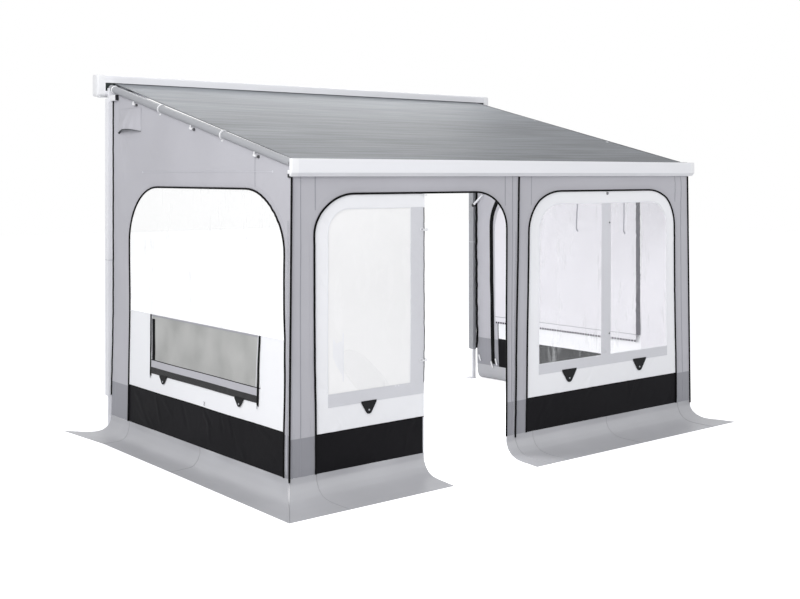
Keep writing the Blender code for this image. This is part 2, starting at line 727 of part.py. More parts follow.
def make_leg_upper(label, swing):
    """The outer tube: round head on the pin, open below, with a clamping collar."""
    half_wide, half_thick = LEG_WIDTH / 2, LEG_THICK / 2
    item = leg_tube(half_wide, half_thick, 0, -LEG_UPPER_LENGTH)
    add(item, rod(half_wide, (0, -half_thick, 0), (0, half_thick, 0)))
    proud = LEG_COLLAR_PROUD
    add(item, cube((-half_wide - proud, -half_thick, -LEG_UPPER_LENGTH),
                   (half_wide + proud, half_thick, -LEG_UPPER_LENGTH + LEG_COLLAR)))
    cut(item, leg_tube(half_wide - LEG_WALL, half_thick - LEG_WALL, -LEG_WIDTH, -LEG_UPPER_LENGTH - OVERRUN))
    cut(item, rod(LEG_PIN_RADIUS + GAP, (0, -LEG_THICK, 0), (0, LEG_THICK, 0)))
    smooth(adopt(item, "leg_upper_" + label, "white_alloy", swing))


def make_leg_lower(label, swing, pivot_z):
    """The inner tube, with two ears for the foot's pin."""
    half_wide, half_thick = LEG_WIDTH / 2 - LEG_WALL - GAP, LEG_THICK / 2 - LEG_WALL - GAP
    bottom = FOOT_PIVOT - pivot_z
    item = leg_tube(half_wide, half_thick, -LEG_UPPER_LENGTH + LEG_OVERLAP, bottom)
    add(item, rod(FOOT_PIVOT - FOOT_HEIGHT - RUNNING, (0, -half_thick, bottom), (0, half_thick, bottom)))
    cut(item, leg_tube(half_wide - LEG_WALL, half_thick - LEG_WALL, -LEG_UPPER_LENGTH + LEG_OVERLAP + OVERRUN,
                       bottom + LEG_WIDTH))
    cut(item, rod(FOOT_PIN_RADIUS + GAP, (0, -LEG_THICK, bottom), (0, LEG_THICK, bottom)))
    smooth(adopt(item, "leg_lower_" + label, "grey_alloy", swing))


def make_leg_foot(label, swing, pivot_z):
    """A sole with two cheeks and the pin through the leg's end."""
    half_long, half_thick = FOOT_LENGTH / 2, LEG_THICK / 2
    inner = half_thick - LEG_WALL
    ear = FOOT_PIN_RADIUS + FOOT_EAR
    sole = cube((-half_long, -half_thick, -pivot_z), (half_long, half_thick, FOOT_HEIGHT - pivot_z))
    for level in (-1, 1):
        low, high = sorted((level * inner, level * half_thick))
        cheek = cube((-ear, low, FOOT_HEIGHT / 2 - pivot_z), (ear, high, FOOT_PIVOT - pivot_z))
        add(cheek, rod(ear, (0, low, FOOT_PIVOT - pivot_z), (0, high, FOOT_PIVOT - pivot_z)))
        add(sole, cheek)
    add(sole, rod(FOOT_PIN_RADIUS, (0, -half_thick + GAP, FOOT_PIVOT - pivot_z),
                  (0, half_thick - GAP, FOOT_PIVOT - pivot_z)))
    smooth(adopt(sole, "leg_foot_" + label, "dark_plastic", swing))


# Rear poles

def make_rear_poles():
    for side, label in SIDE_NAMES.items():
        parent = SIDES[side]
        reach = POLE_RIGHT_INSIDE if side > 0 else POLE_LEFT_INSIDE
        inside, outside = -side * reach, side * (POLE_WIDTH - reach)
        left, right = min(inside, outside), max(inside, outside)
        front, rear = ROOM_DEPTH + SLACK, ROOM_DEPTH + SLACK + POLE_DEPTH
        item = cube((left, front, POLE_STEP), (right, rear, POLE_TOP))
        cut(item, cube((left + POLE_WALL, front + POLE_WALL, POLE_STEP - OVERRUN),
                       (right - POLE_WALL, rear - POLE_WALL, POLE_TOP - POLE_WALL)))
        groove = (inside + outside) / 2
        cut(item, cube((groove - POLE_GROOVE / 2, front - OVERRUN, POLE_STEP - OVERRUN),
                       (groove + POLE_GROOVE / 2, front + POLE_WALL / 2, POLE_TOP + OVERRUN)))
        add(item, make_cradle(side, front))
        inner, top = POLE_WALL + RUNNING, POLE_STEP + POLE_OVERLAP
        tube_rear = front + inner + POLE_FOOT_TUBE
        bush = cube((left + POLE_WALL / 2, front + POLE_WALL * 3 / 4, POLE_STEP),
                    (right - POLE_WALL / 2, rear - POLE_WALL / 2, POLE_STEP + POLE_BUSH))
        cut(bush, cube((left + POLE_WALL, front + POLE_WALL, POLE_STEP - OVERRUN),
                       (right - POLE_WALL, tube_rear + RUNNING, POLE_STEP + POLE_BUSH + OVERRUN)))
        add(item, bush)
        adopt(item, "rear_pole_" + label, "white_alloy", parent)
        foot = cube((left + inner, front + inner, POLE_FOOT_THICK / 2), (right - inner, tube_rear, top))
        add(foot, cube((left + inner, front + inner, top - POLE_GLIDE), (right - inner, rear - inner, top)))
        inner += POLE_WALL
        cut(foot, cube((left + inner, front + inner, POLE_FOOT_THICK),
                       (right - inner, tube_rear - POLE_WALL, top + OVERRUN)))
        near, far = sorted((outside, outside - side * POLE_FOOT_WIDTH))
        add(foot, cube((near, front, 0), (far, front + POLE_FOOT_DEPTH, POLE_FOOT_THICK)))
        adopt(foot, "rear_pole_foot_" + label, "white_alloy", parent)


def make_cradle(side, front):
    """The saddle on a rear pole's top that the rafter's end lies in, in its side's own frame."""
    turn = TOE_ANGLE if side > 0 else 0
    inverse = Matrix.Rotation(-turn, 4, "Z") @ Matrix.Translation((-side * HALF_ROOM, 0, 0))
    start, end = [inverse @ point for point in rafter_ends(side)]
    half = RAFTER_RADIUS + GAP + CRADLE_WALL
    saddle = cube((end.x - half, front, POLE_TOP - CRADLE_DROP),
                  (end.x + half, CASE_FRONT - 2 * RUNNING, end.z))
    beyond = (end - start).normalized() * CRADLE_DROP
    return cut(saddle, rod(RAFTER_RADIUS + GAP, start, end + beyond))


# Side walls

def make_side(side):
    label, parent = SIDE_NAMES[side], SIDES[side]
    front = CLOTH + SLACK
    middle = -side * CLOTH / 2
    arch_front, arch_rear = SIDE_ARCH_FRONT, ROOM_DEPTH - SIDE_ARCH_REAR

    def top_edge(y):
        return rafter_height(side, y) - (COLLAR_RADIUS + SLACK) / math.cos(ROOF_ANGLE)

    opening = arch(arch_front, arch_rear, HEM_HEIGHT, SIDE_ARCH_TOP, SIDE_ARCH_WIDE, SIDE_ARCH_TALL)
    loop = [(front, HEM_HEIGHT), (front, top_edge(front))]
    if side > 0:
        start = RAIL_BACK + SLACK
        loop[1:] = [(front, RAIL_BOTTOM - GAP), (start, RAIL_BOTTOM - GAP), (start, top_edge(start))]
    loop += [(ROOM_DEPTH, top_edge(ROOM_DEPTH)), (ROOM_DEPTH, HEM_HEIGHT)]
    loop += list(reversed(opening))
    plate("side_wall_" + label, [loop], CLOTH, FACING_SIDE, (middle, 0, 0), "wall_cloth", parent)
    window = arch(arch_front, arch_rear, SIDE_SILL + SLACK, SIDE_ARCH_TOP, SIDE_ARCH_WIDE,
                  SIDE_ARCH_TALL, SLACK)
    plate("side_window_" + label, [window], FILM, FACING_SIDE, (middle, 0, 0), "clear_film", parent)
    panel = [(arch_front + SLACK, HEM_HEIGHT), (arch_front + SLACK, SIDE_SILL),
             (arch_rear - SLACK, SIDE_SILL), (arch_rear - SLACK, HEM_HEIGHT)]
    plate("side_panel_" + label, [panel], CLOTH, FACING_SIDE, (middle, 0, 0), "band_cloth", parent)
    hinge = new_empty("flap_hinge_" + label, (side * (SLACK + FLAP_THICK / 2), 0, SIDE_SILL), parent)
    box("mesh_flap_" + label, (-FLAP_THICK / 2, FLAP_FRONT, -FLAP_DROP),
        (FLAP_THICK / 2, ROOM_DEPTH - FLAP_REAR, -RUNNING), "mesh_cloth", hinge)
    make_hood(side, label, parent)


def make_hood(side, label, parent):
    """The vent's rain hood: sewn along its top and sides, standing open below."""
    columns, rows = 8, 4
    mesh = bpy.data.meshes.new("hood")
    work = bmesh.new()
    rear = ROOM_DEPTH - HOOD_REAR
    bottom = roof_under(rear - HOOD_WIDTH) - HOOD_DROP
    grid = []
    for row in range(rows + 1):
        down = row / rows
        line = []
        for column in range(columns + 1):
            share = column / columns
            swell = math.sin(math.pi * share)
            out = SLACK + HOOD_BULGE * swell * math.sin(math.pi / 2 * down)
            up = HOOD_HEIGHT * (1 - down) + HOOD_ARCH * swell * down
            line.append(work.verts.new((side * out, rear - HOOD_WIDTH * (1 - share), bottom + up)))
        grid.append(line)
    for row in range(rows):
        for column in range(columns):
            corners = [grid[row][column], grid[row][column + 1],
                       grid[row + 1][column + 1], grid[row + 1][column]]
            work.faces.new(corners if side < 0 else list(reversed(corners)))
    work.to_mesh(mesh)
    work.free()
    item = adopt(mesh_object("vent_hood_" + label, mesh), "vent_hood_" + label, "wall_cloth", parent)
    thicken(item, HOOD_THICK)


def thicken(item, thickness):
    shell = item.modifiers.new("cloth", "SOLIDIFY")
    shell.thickness = thickness
    shell.offset = 1.0
    shell.use_even_offset = False


# Front walls

def from_left(distance):
    return distance - HALF_ROOM


def make_front():
    top = RAIL_BOTTOM - GAP
    seam = from_left(SEAM_FROM_LEFT)
    middle = CLOTH / 2
    door = arch(from_left(DOOR_LEFT), from_left(DOOR_RIGHT), HEM_HEIGHT, FRONT_ARCH_TOP,
                FRONT_ARCH_WIDE, FRONT_ARCH_TALL)
    left_loop = [(-HALF_ROOM, HEM_HEIGHT), (-HALF_ROOM, top), (seam - SLACK / 2, top),
                 (seam - SLACK / 2, HEM_HEIGHT)] + list(reversed(door))
    plate("front_wall_left", [left_loop], CLOTH, FACING_FRONT, (0, middle, 0), "wall_cloth")
    bay_left, bay_right = from_left(BAY_LEFT), HALF_ROOM - BAY_RIGHT
    bay = arch(bay_left, bay_right, HEM_HEIGHT, FRONT_ARCH_TOP, FRONT_ARCH_WIDE, FRONT_ARCH_TALL)
    right_loop = [(seam + SLACK / 2, HEM_HEIGHT), (seam + SLACK / 2, top), (HALF_ROOM, top),
                  (HALF_ROOM, HEM_HEIGHT)] + list(reversed(bay))
    plate("front_wall_right", [right_loop], CLOTH, FACING_FRONT, (0, middle, 0), "wall_cloth")
    make_bay(bay_left, bay_right, middle)
    make_door(middle)


def window_loop(left, right, rounds, shrink=0.0):
    """A window outline with a round upper corner on each side named in rounds."""
    left, right, bottom, top = left + shrink, right - shrink, WINDOW_SILL + shrink, WINDOW_TOP - shrink
    bend = WINDOW_ROUND - shrink
    points = [(right, bottom), (left, bottom)]
    if -1 in rounds:
        points += corner((left + bend, top - bend), (bend, bend), 180)
    else:
        points.append((left, top))
    if 1 in rounds:
        points += corner((right - bend, top - bend), (bend, bend), 90)
    else:
        points.append((right, top))
    return points


def make_bay(bay_left, bay_right, middle):
    outline = arch(bay_left, bay_right, HEM_HEIGHT, FRONT_ARCH_TOP, FRONT_ARCH_WIDE, FRONT_ARCH_TALL, SLACK)
    left, right = from_left(BAY_WINDOW_LEFT), HALF_ROOM - BAY_WINDOW_RIGHT
    plate("front_panel", [outline, window_loop(left, right, (-1, 1))], CLOTH, FACING_FRONT,
          (0, middle, 0), "band_cloth")
    plate("front_window", [window_loop(left, right, (-1, 1), SLACK)], FILM, FACING_FRONT,
          (0, middle, 0), "clear_film")


def half_arch(edge, fold, shrink):
    """Half of the door's arch, from the fold's foot to the outer foot."""
    top = FRONT_ARCH_TOP - shrink
    wide, tall = FRONT_ARCH_WIDE - shrink, FRONT_ARCH_TALL - shrink
    points = [(fold, HEM_HEIGHT), (edge, HEM_HEIGHT)]
    points += corner((edge + wide, top - tall), (wide, tall), 180)
    points.append((fold, top))
    return points


def make_door(middle):
    fold = from_left(DOOR_FOLD)
    edge = from_left(DOOR_LEFT) + SLACK
    outline = half_arch(edge, fold - 3 * SLACK, SLACK)
    left, right = from_left(DOOR_WINDOW_LEFT), from_left(DOOR_WINDOW_RIGHT)
    plate("door_panel", [outline, window_loop(left, right, (-1,))], CLOTH, FACING_FRONT,
          (0, middle, 0), "band_cloth")
    plate("door_window", [window_loop(left, right, (-1,), SLACK)], FILM, FACING_FRONT,
          (0, middle, 0), "clear_film")
    hinge = new_empty("door_fold", (fold, CLOTH + SLACK, 0), ROOT)
    leaf_thick = CLOTH - 2 * SLACK
    leaf_width = DOOR_RIGHT - DOOR_FOLD - SLACK
    leaf = half_arch(-leaf_width, -3 * SLACK, SLACK)
    margin = LEAF_WINDOW_MARGIN
    leaf_window = (-leaf_width + margin, -margin)
    place = (0, SLACK + leaf_thick / 2, 0)
    plate("door_leaf", [leaf, window_loop(*leaf_window, (-1,))], leaf_thick, FACING_FRONT, place,
          "band_cloth", hinge)
    plate("door_leaf_window", [window_loop(*leaf_window, (-1,), SLACK)], FILM, FACING_FRONT, place,
          "clear_film", hinge)


# Skirts

def make_skirt(name, stations):
    """A cloth that falls from the wall's hem, bends and lies out on the ground.

    Each station has two points, where the cloth leaves the wall and where its hem lies, and how
    much of the way out it stays square to the wall before it turns to that hem point.
    """
    mesh = bpy.data.meshes.new(name)
    work = bmesh.new()
    grid = []
    for top, square, hem, hold in stations:
        line = []
        for out, high in zip(SKIRT_OUT_SHARES, SKIRT_HIGH_SHARES):
            turned = max(0, (out - hold) / (1 - hold))
            spot = Vector(top).lerp(Vector(square), out) + (Vector(hem) - Vector(square)) * turned
            line.append(work.verts.new((spot.x, spot.y, (HEM_HEIGHT - GAP) * high)))
        grid.append(line)
    for first, second in zip(grid, grid[1:]):
        for index in range(len(first) - 1):
            work.faces.new((first[index], first[index + 1], second[index + 1], second[index]))
    work.to_mesh(mesh)
    work.free()
    item = adopt(mesh_object(name, mesh), name, "skirt_cloth")
    thicken(item, SKIRT_CLOTH)
    smooth(item, 60)


def side_point(side, along, out):
    """A point on the ground beside a side wall, in the frame of the whole room."""
    turn = TOE_ANGLE if side > 0 else 0
    spot = Matrix.Rotation(turn, 3, "Z") @ Vector((side * out, along, 0))
    return (spot.x + side * HALF_ROOM, spot.y)


def station(top, square, shift=(0, 0), hold=0.0):
    """One line down a skirt: its hem lies square to the wall unless it is shifted along."""
    return top, square, (square[0] + shift[0], square[1] + shift[1]), hold


def make_skirts():
    tuck = split = SKIRT_CLOTH
    left, rear_hem = -HALF_ROOM + tuck, -HALF_ROOM - SKIRT_LEFT_OUT
    corner_hem = -HALF_ROOM - SKIRT_LEFT_CORNER_OUT
    front = -SKIRT_FRONT_OUT
    pole_hold = (POLE_WIDTH - POLE_LEFT_INSIDE + 4 * RUNNING) / SKIRT_LEFT_OUT
    lines = [station((left, ROOM_DEPTH), (rear_hem, ROOM_DEPTH), (0, SKIRT_REAR_TIP), pole_hold)]
    for share, out in reversed(list(zip(SKIRT_SEAM_SHARES, SKIRT_SEAM_OUTS))):
        lines.append(station((left, ROOM_DEPTH * share), (-HALF_ROOM - out, ROOM_DEPTH * share)))
    lines.append(station((left, SKIRT_CORNER_SEAM), (corner_hem, SKIRT_CORNER_SEAM)))
    lines.append(station((left, tuck + split), (corner_hem, tuck + split), (0, front - tuck)))
    make_skirt("skirt_left", lines)

    lines = []
    for share in (0, *SKIRT_SEAM_SHARES, 1):
        along = SKIRT_CORNER_LAP + (ROOM_DEPTH - SKIRT_CORNER_LAP) * share
        lines.append(station(side_point(1, along, -tuck), side_point(1, along, SKIRT_RIGHT_OUT)))
    make_skirt("skirt_right", lines)

    seam, door_left = -HALF_ROOM + SKIRT_CORNER_SEAM, from_left(DOOR_FOLD) - 3 * SLACK
    make_skirt("skirt_front_left", [
        station((left + split, tuck), (left + split, front), (corner_hem - left, 0)),
        station((seam, tuck), (seam, front)),
        station((door_left, tuck), (door_left, front), (-SKIRT_DOOR_IN, 0)),
    ])

    door_right, right = from_left(DOOR_RIGHT), HALF_ROOM
    lines = [station((door_right, tuck), (door_right, front), (-SKIRT_DOOR_RIGHT_IN, 0))]
    for share in SKIRT_FRONT_SEAM_SHARES:
        across = door_right + (right - door_right) * share
        lines.append(station((across, tuck), (across, front)))
    lines.append(station((right, tuck), (right, front), (SKIRT_CORNER_OUT, 0)))
    make_skirt("skirt_front_right", lines)


make_case()
make_wall_brackets()
make_roof()
make_rail()
make_arms()
make_rafters()
make_legs()
make_rear_poles()
make_side(-1)
make_side(1)
make_front()
make_skirts()
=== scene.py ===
"""Looks of the wall-hung caravan awning: cloth, film, net, piping, fittings, light and camera.

Every length is in metres. A place on a wall is given by how far along the wall it lies from the
front left or front right corner, how high it is, and how far it stands out of the wall's face.
"""

import math
import random

import bmesh
import bpy
import numpy as np
from mathutils import Matrix, Vector
from mathutils.geometry import delaunay_2d_cdt


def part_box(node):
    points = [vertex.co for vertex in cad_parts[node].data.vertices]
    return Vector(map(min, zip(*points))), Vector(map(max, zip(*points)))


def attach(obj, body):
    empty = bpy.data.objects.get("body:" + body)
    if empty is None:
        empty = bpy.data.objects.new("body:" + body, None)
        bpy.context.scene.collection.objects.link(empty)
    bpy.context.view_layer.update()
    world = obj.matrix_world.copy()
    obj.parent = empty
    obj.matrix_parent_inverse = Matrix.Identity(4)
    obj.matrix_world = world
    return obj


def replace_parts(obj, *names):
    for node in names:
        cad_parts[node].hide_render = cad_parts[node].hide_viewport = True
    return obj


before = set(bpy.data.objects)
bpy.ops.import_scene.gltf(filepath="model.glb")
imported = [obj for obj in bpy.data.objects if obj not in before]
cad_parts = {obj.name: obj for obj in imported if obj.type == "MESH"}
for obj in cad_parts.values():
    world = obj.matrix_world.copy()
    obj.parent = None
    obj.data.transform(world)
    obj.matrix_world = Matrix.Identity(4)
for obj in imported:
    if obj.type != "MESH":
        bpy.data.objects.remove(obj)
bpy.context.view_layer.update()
AWNING = "awning"

# Camera, placed from the room's front left corner
PHOTO_WIDTH = 800
PHOTO_HEIGHT = 599
FOCAL_PIXELS = 1155.92
HORIZON_PIXEL = 174.92
SENSOR = 36.0
CAMERA_FROM_CORNER = (-3.9626, -5.907)
CAMERA_HEIGHT = 2.0089
CAMERA_TURN = 39.22

FLOOR_GLOW = 0.62

# Cloth
CLOTH_THICK = 0.0014
FILM_THICK = 0.0008
TRIM_THICK = 0.0012
TRIM_LIFT = 0.0016
STEP = 0.015
FINE_STEP = 0.011
CAD_CLOTH = 0.004
SHELL_SHARP = 50
CREASE_GAIN = 1.9

# Arches, windows and bands, as in the solids
SIDE_ARCH_WIDE = 0.450
SIDE_ARCH_TALL = 0.410
FRONT_ARCH_WIDE = 0.300
FRONT_ARCH_TALL = 0.260
BAY_ARCH_WIDE = 0.355
BAY_ARCH_TALL = 0.295
WINDOW_ROUND = 0.200
DOOR_WINDOW_ROUND = 0.160
LEAF_EDGE = 0.020
FRONT_BAND_TOP = 0.388
SIDE_BAND_TOP = 0.420
PILLAR_BLOCK_TOP = 0.385
ARC_STEPS = 14

# How far the cloth strays from the straight
LEAN_PLACES = (0.0, 0.182, 0.278, 0.952, 1.848, 1.952, 2.055, 2.182, 3.652, 3.780, 3.946)
LEAN_HIGH = (0.0, -0.016, -0.004, 0.0, -0.006, 0.009, 0.016, -0.006, 0.004, -0.030, -0.020)
LEAN_LOW = (-0.018, -0.002, -0.004, -0.004, -0.010, -0.012, -0.018, -0.015, 0.004, -0.006, 0.014)
SIDE_LEAN_PLACES = (0.0, 0.085, 0.36, 1.87, 2.2, 2.48)
SIDE_LEAN_LOW = (0.0, -0.030, -0.027, -0.036, -0.018, 0.0)
SIDE_FLARE = 0.018
SIDE_SILL = 0.985
SIDE_UNDER_RAFTER = 0.024
RIGHT_TOP_PLACES = (0.0, 1.3, 1.7, 2.5)
RIGHT_TOP_RISE = (0.026, 0.026, -0.024, -0.024)
RAFTER_STEPS = 0.003

# Rafter fittings, by their distance from the front
RING_PLACES = (0.809, 1.688)
REAR_RING = 2.452
RING_RADIUS = 0.0332
REAR_RING_RADIUS = 0.0305
RING_WIDE = 0.016
CLIP_PLACES = (0.393, 1.222, 2.096)
CLIP_DROP = 0.046
KNOB_AHEAD = 0.034

# Caps and poles
CASE_ROUND = 0.020
CASE_CHAMFER = 0.016
CASE_CAP_BEND = 0.016
RAIL_CHAMFER = 0.023
RAIL_ROUND = 0.008
RAIL_CAP_BEND = 0.010
CASE_CAP_WIDE = 0.067
SLOT_TOP_DROP = 0.062
SLOT_LOW_RISE = 0.041
POLE_WIDTH = 0.045
POLE_DEPTH = 0.060
POLE_INSIDE = {-1: 0.005, 1: 0.044}
POLE_JOINT = 1.347
STRUT_INSIDE = 0.034

# Inside of the right side wall
INNER_BAND = 0.042
INNER_REACH = 0.055
CURTAIN = (0.512, 2.19)
CURTAIN_START = 0.06
CURTAIN_FOOT = 0.575
CURTAIN_SEAM = 0.636
CURTAIN_TOP = 1.885

# Skirts
SKIRT_OUT = (0.0, 0.0, 0.07, 0.18, 0.32, 0.50, 1.0)
SKIRT_HIGH = (1.0, 0.72, 0.38, 0.15, 0.04, 0.0, 0.0)
SKIRT_ROWS = 34
SKIRT_STEP = 0.03
SKIRT_THICK = 0.002
SKIRT_FLOOR = 0.0012
SKIRT_WAVE = 0.0022
SKIRT_CORNER = (0.247, 0.340)
SKIRT_REAR_OUT = 0.272
LEFT_HEM = ((1.1255, 0.229), (2.18, 0.221))
FRONT_SEAMS = (1.94, 2.12, 2.92, 3.80)
DOOR_EDGE = 1.848

FRONT_LEFT_SEAM = 0.19
RIGHT_SEAM_SHARES = (0, 0.455, 0.887, 1)
SKIRT_RIGHT_GAP = 0.004
SKIRT_SEAM_OUT = 0.0012
SKIRT_SEAM_RISE = 0.0011
PROFILE_STEPS = 400
PROFILE_KERNEL = 61

# Trim
PIPE_RADIUS = 0.0066
PIPE_LIFT = 0.002
SEAM_WIDTH = 0.005
SKIRT_CORNER_PIPE = 0.0045
BORDER_WIDTH = 0.030
BORDER_LIFT = 0.0011
BORDER_GROW = BORDER_WIDTH / 2 + PIPE_RADIUS
BAND_SEAM_WIDTH = 0.006
BAND_SEAM_THICK = 0.002
WOBBLE_LENGTHS = (0.11, 0.23, 0.61)
MOULDED_SHARP = 35

# Triangles inside a sheet: how many are tried at a time, and their share of a step off the rim
RIM_BATCH = 2000
RIM_SHARE = 0.55

# Side walls: distances from the front corner, and heights
SIDE_START = 0.0045
SIDE_BLOCK_TOP = SIDE_BAND_TOP - 0.012
RAIL_GAP = 0.0005
SPRING_SLACK = 0.001
FILM_HEM = 0.004
ABOVE_ALL = 3.0
SILL_FADE = 0.16
SILL_DROP = 0.006
SILL_WIDTH = 0.008
SIDE_SEAM = 0.419
TUCK = ((0.21, 2.03), (1.98, 2.03))
SIDE_ZIP = 0.045
SIDE_ZIP_TOP = 1.72
KEDER_SPAN = (0.30, 2.59)
RAFTER_GUESS = 0.24
RAFTER_TRIES = 4

# Creases. A fan gives its hub, first and last angle, count, near and far end, width and height.
# A scatter gives its region, count, angle, spread, length, width and height.
SIDE_CREASES = (
    ("fan", (0.02, 2.02), -78, -22, 9, 0.05, 0.55, 0.013, 0.0024),
    ("fan", (2.44, 2.55), 200, 262, 7, 0.05, 0.6, 0.016, 0.0022),
    ("fan", (0.33, 1.86), 60, 150, 6, 0.02, 0.22, 0.013, 0.0016),
    ("scatter", (0.5, 2.3, 2.0, 2.4), 16, 12, 25, 0.5, 0.020, 0.0014),
    ("scatter", (2.25, 2.46, 0.2, 2.3), 14, 85, 12, 0.6, 0.014, 0.0015),
    ("scatter", (0.0, 0.085, 0.2, 1.6), 10, 88, 8, 0.5, 0.012, 0.0010),
    ("scatter", (0.15, 2.15, 0.45, 0.95), 26, 62, 24, 0.35, 0.015, 0.0011),
    ("scatter", (0.15, 2.15, 0.16, 0.42), 20, 50, 30, 0.4, 0.016, 0.0016),
)
FRONT_CREASES = (
    ("scatter", (0.3, 1.7, 1.90, 2.0), 16, 5, 14, 0.35, 0.012, 0.0010),
    ("scatter", (2.2, 3.7, 1.90, 2.0), 16, 80, 25, 0.09, 0.011, 0.0014),
    ("scatter", (0.19, 0.28, 0.45, 1.8), 26, -45, 12, 0.16, 0.012, 0.0012),
    ("scatter", (0.95, 1.07, 0.55, 1.85), 26, -38, 12, 0.16, 0.012, 0.0013),
    ("scatter", (0.20, 1.05, 0.40, 0.62), 16, -40, 25, 0.2, 0.013, 0.0013),
    ("scatter", (2.06, 2.18, 0.45, 1.8), 26, -45, 12, 0.16, 0.012, 0.0012),
    ("scatter", (3.66, 3.77, 0.45, 1.8), 20, 60, 20, 0.16, 0.012, 0.0010),
    ("scatter", (2.1, 3.75, 0.40, 0.62), 26, 48, 25, 0.2, 0.013, 0.0013),
    ("scatter", (0.2, 1.05, 0.16, 0.38), 16, 55, 25, 0.3, 0.015, 0.0016),
    ("scatter", (2.1, 3.75, 0.16, 0.38), 26, 60, 25, 0.3, 0.015, 0.0016),
    ("scatter", (0.0, 0.18, 0.2, 1.9), 12, 88, 10, 0.5, 0.012, 0.0010),
    ("scatter", (1.85, 2.05, 0.2, 1.9), 22, -50, 30, 0.14, 0.012, 0.0013),
    ("scatter", (3.79, 3.94, 0.2, 1.95), 18, 55, 25, 0.2, 0.012, 0.0018),
    ("fan", (3.93, 1.99), 200, 262, 9, 0.02, 0.35, 0.012, 0.0024),
)

# Front: distances from the left corner, and heights
LEFT_PILLAR_SEAMS = (0.076, 0.193, 1.834, 1.90)
RIGHT_PILLAR_SEAMS = (2.085, 3.79, 3.86)
FRONT_FILM_HEM = 0.006
FRONT_FILM_LIFT = -0.0012
DOOR_LOW_BAND = (0.545, 0.628)
DOOR_BAND_TOP = 1.795
DOOR_TAB = (0.604, 0.553)
DOOR_TAB_SIZE = (0.125, 0.085)
DOOR_TOGGLES = ((1.058, 1.644), (1.052, 0.771))
TOP_TOGGLE_HIGH = 1.876
BAY_LOW_BAND = (0.546, 0.622)
BAY_MIDDLE = (2.860, 2.968)
BAY_MIDDLE_TOP = 1.79
BAY_STUD_ALONG = 2.951
BAY_STUDS = (1.641, 0.784)
BAY_TABS = (2.505, 3.309)
BAY_TAB_HIGH = 0.557
BAY_TAB_SIZE = (0.155, 0.098)
BAY_STRAPS = ((2.588, 1.584), (3.124, 1.548))

# Tabs, studs, toggles and clips: profiles are radius and height
TAB_THICK = 0.003
TAB_SHOULDER = 0.012
TAB_TIP_SHARE = 0.18
TAB_STUD_SHARE = 0.7
TAB_STUD = ((0, 0), (0.0065, 0), (0.0065, 0.0015), (0.0045, 0.003), (0.002, 0.0034), (0, 0.0028))
FLAT_STUD = ((0, 0), (0.006, 0), (0.006, 0.0015), (0, 0.002))
TUCK_END = ((0, 0), (0.008, 0), (0.007, 0.002), (0, 0.003))
TOP_CLIP = ((0, 0), (0.012, 0), (0.012, 0.003), (0.006, 0.005), (0, 0.005))
TOGGLE_KNOB = ((0, 0), (0.007, 0.001), (0.008, 0.004), (0.006, 0.007), (0, 0.008))
TOGGLE_BAR = (0.0, 0.012, 0.024, 0.036)
TOGGLE_STEPS = 12
CLIP_KNOB = ((0, 0), (0.010, 0), (0.010, 0.008), (0.008, 0.012), (0.004, 0.013), (0, 0.013))
CLIP_BODY = ((-0.008, -0.016, -0.008), (0.008, 0.016, 0.008))
CLIP_LUG = ((-0.006, 0.004, 0.006), (0.006, 0.014, 0.024))
RAFTER_HOOK = ((-0.004, 0.0), (0.006, 0.0), (0.012, 0.004), (0.013, 0.012), (0.007, 0.018))
RING_ROUND = 0.004

# Flaps and hoods: pulls are offsets along the wall and up
FLAP_LEAN = 0.022
FLAP_TAPE_IN = 0.017
FLAP_TABS = (1.656, 0.608)
FLAP_TAB_SIZE = (0.110, 0.062)
FLAP_PULL = ((0, 0.01), (0.004, -0.004), (0.0, -0.016), (-0.004, -0.004))
PANEL_PULL_PLACE = (1.064, 0.45)
PANEL_PULL = ((0.006, 0.012), (-0.005, 0.006), (0.005, -0.004), (0.0, -0.014))
INNER_PULL = ((0.010, 0.030), (0.004, 0.012), (-0.004, -0.010), (-0.012, -0.030))
HOOD_COLUMNS = 36
HOOD_ROWS = 22
HOOD_BASE = 0.002
HOOD_BULGE = 0.044
HOOD_FOOT_RISE = 0.020

# Poles, caps, corner and curtain
CAP_STEPS = 6
KEEL_PAST = 0.045
KEEL_INSIDE = 0.060
POLE_CLAMP_HIGH = 2.606
POLE_CLAMPS = (("pole_clamp", 2.388, 2.482, "white_plastic"),
               ("pole_clamp_edge", 2.3840, 2.3885, "dark_plastic"))
POLE_PIVOT = ((0, -0.012), (0.017, -0.012), (0.017, 0.006), (0.012, 0.010), (0, 0.010))
STRUT_FOOT = (2.468, 1.711)
STRUT_HEAD = (2.36, 1.815)
CORNER_HOOKS = (("hook", 2.016, 2.040, "white_plastic"), ("hook_block", 1.992, 2.015, "dark_plastic"))
CURTAIN_SHOULDER = ((0.0, 0.36), (0.03, 0.24), (0.15, 0.06), (0.26, 0.0))
CURTAIN_STITCH = 0.030

# Roof cloth
# Painted sheen on the roof: where along Y the colour starts and stops growing lighter towards the rear
ROOF_PAINTED_SHEEN = (-0.10, 1.15)
ROOF_LIFT = 0.002
ROOF_STEPS = 120
ROLLER_STEPS = 14
ROOF_COLUMNS = 200
ROOF_SAG = 0.004
ROOF_WAVE = 0.0009

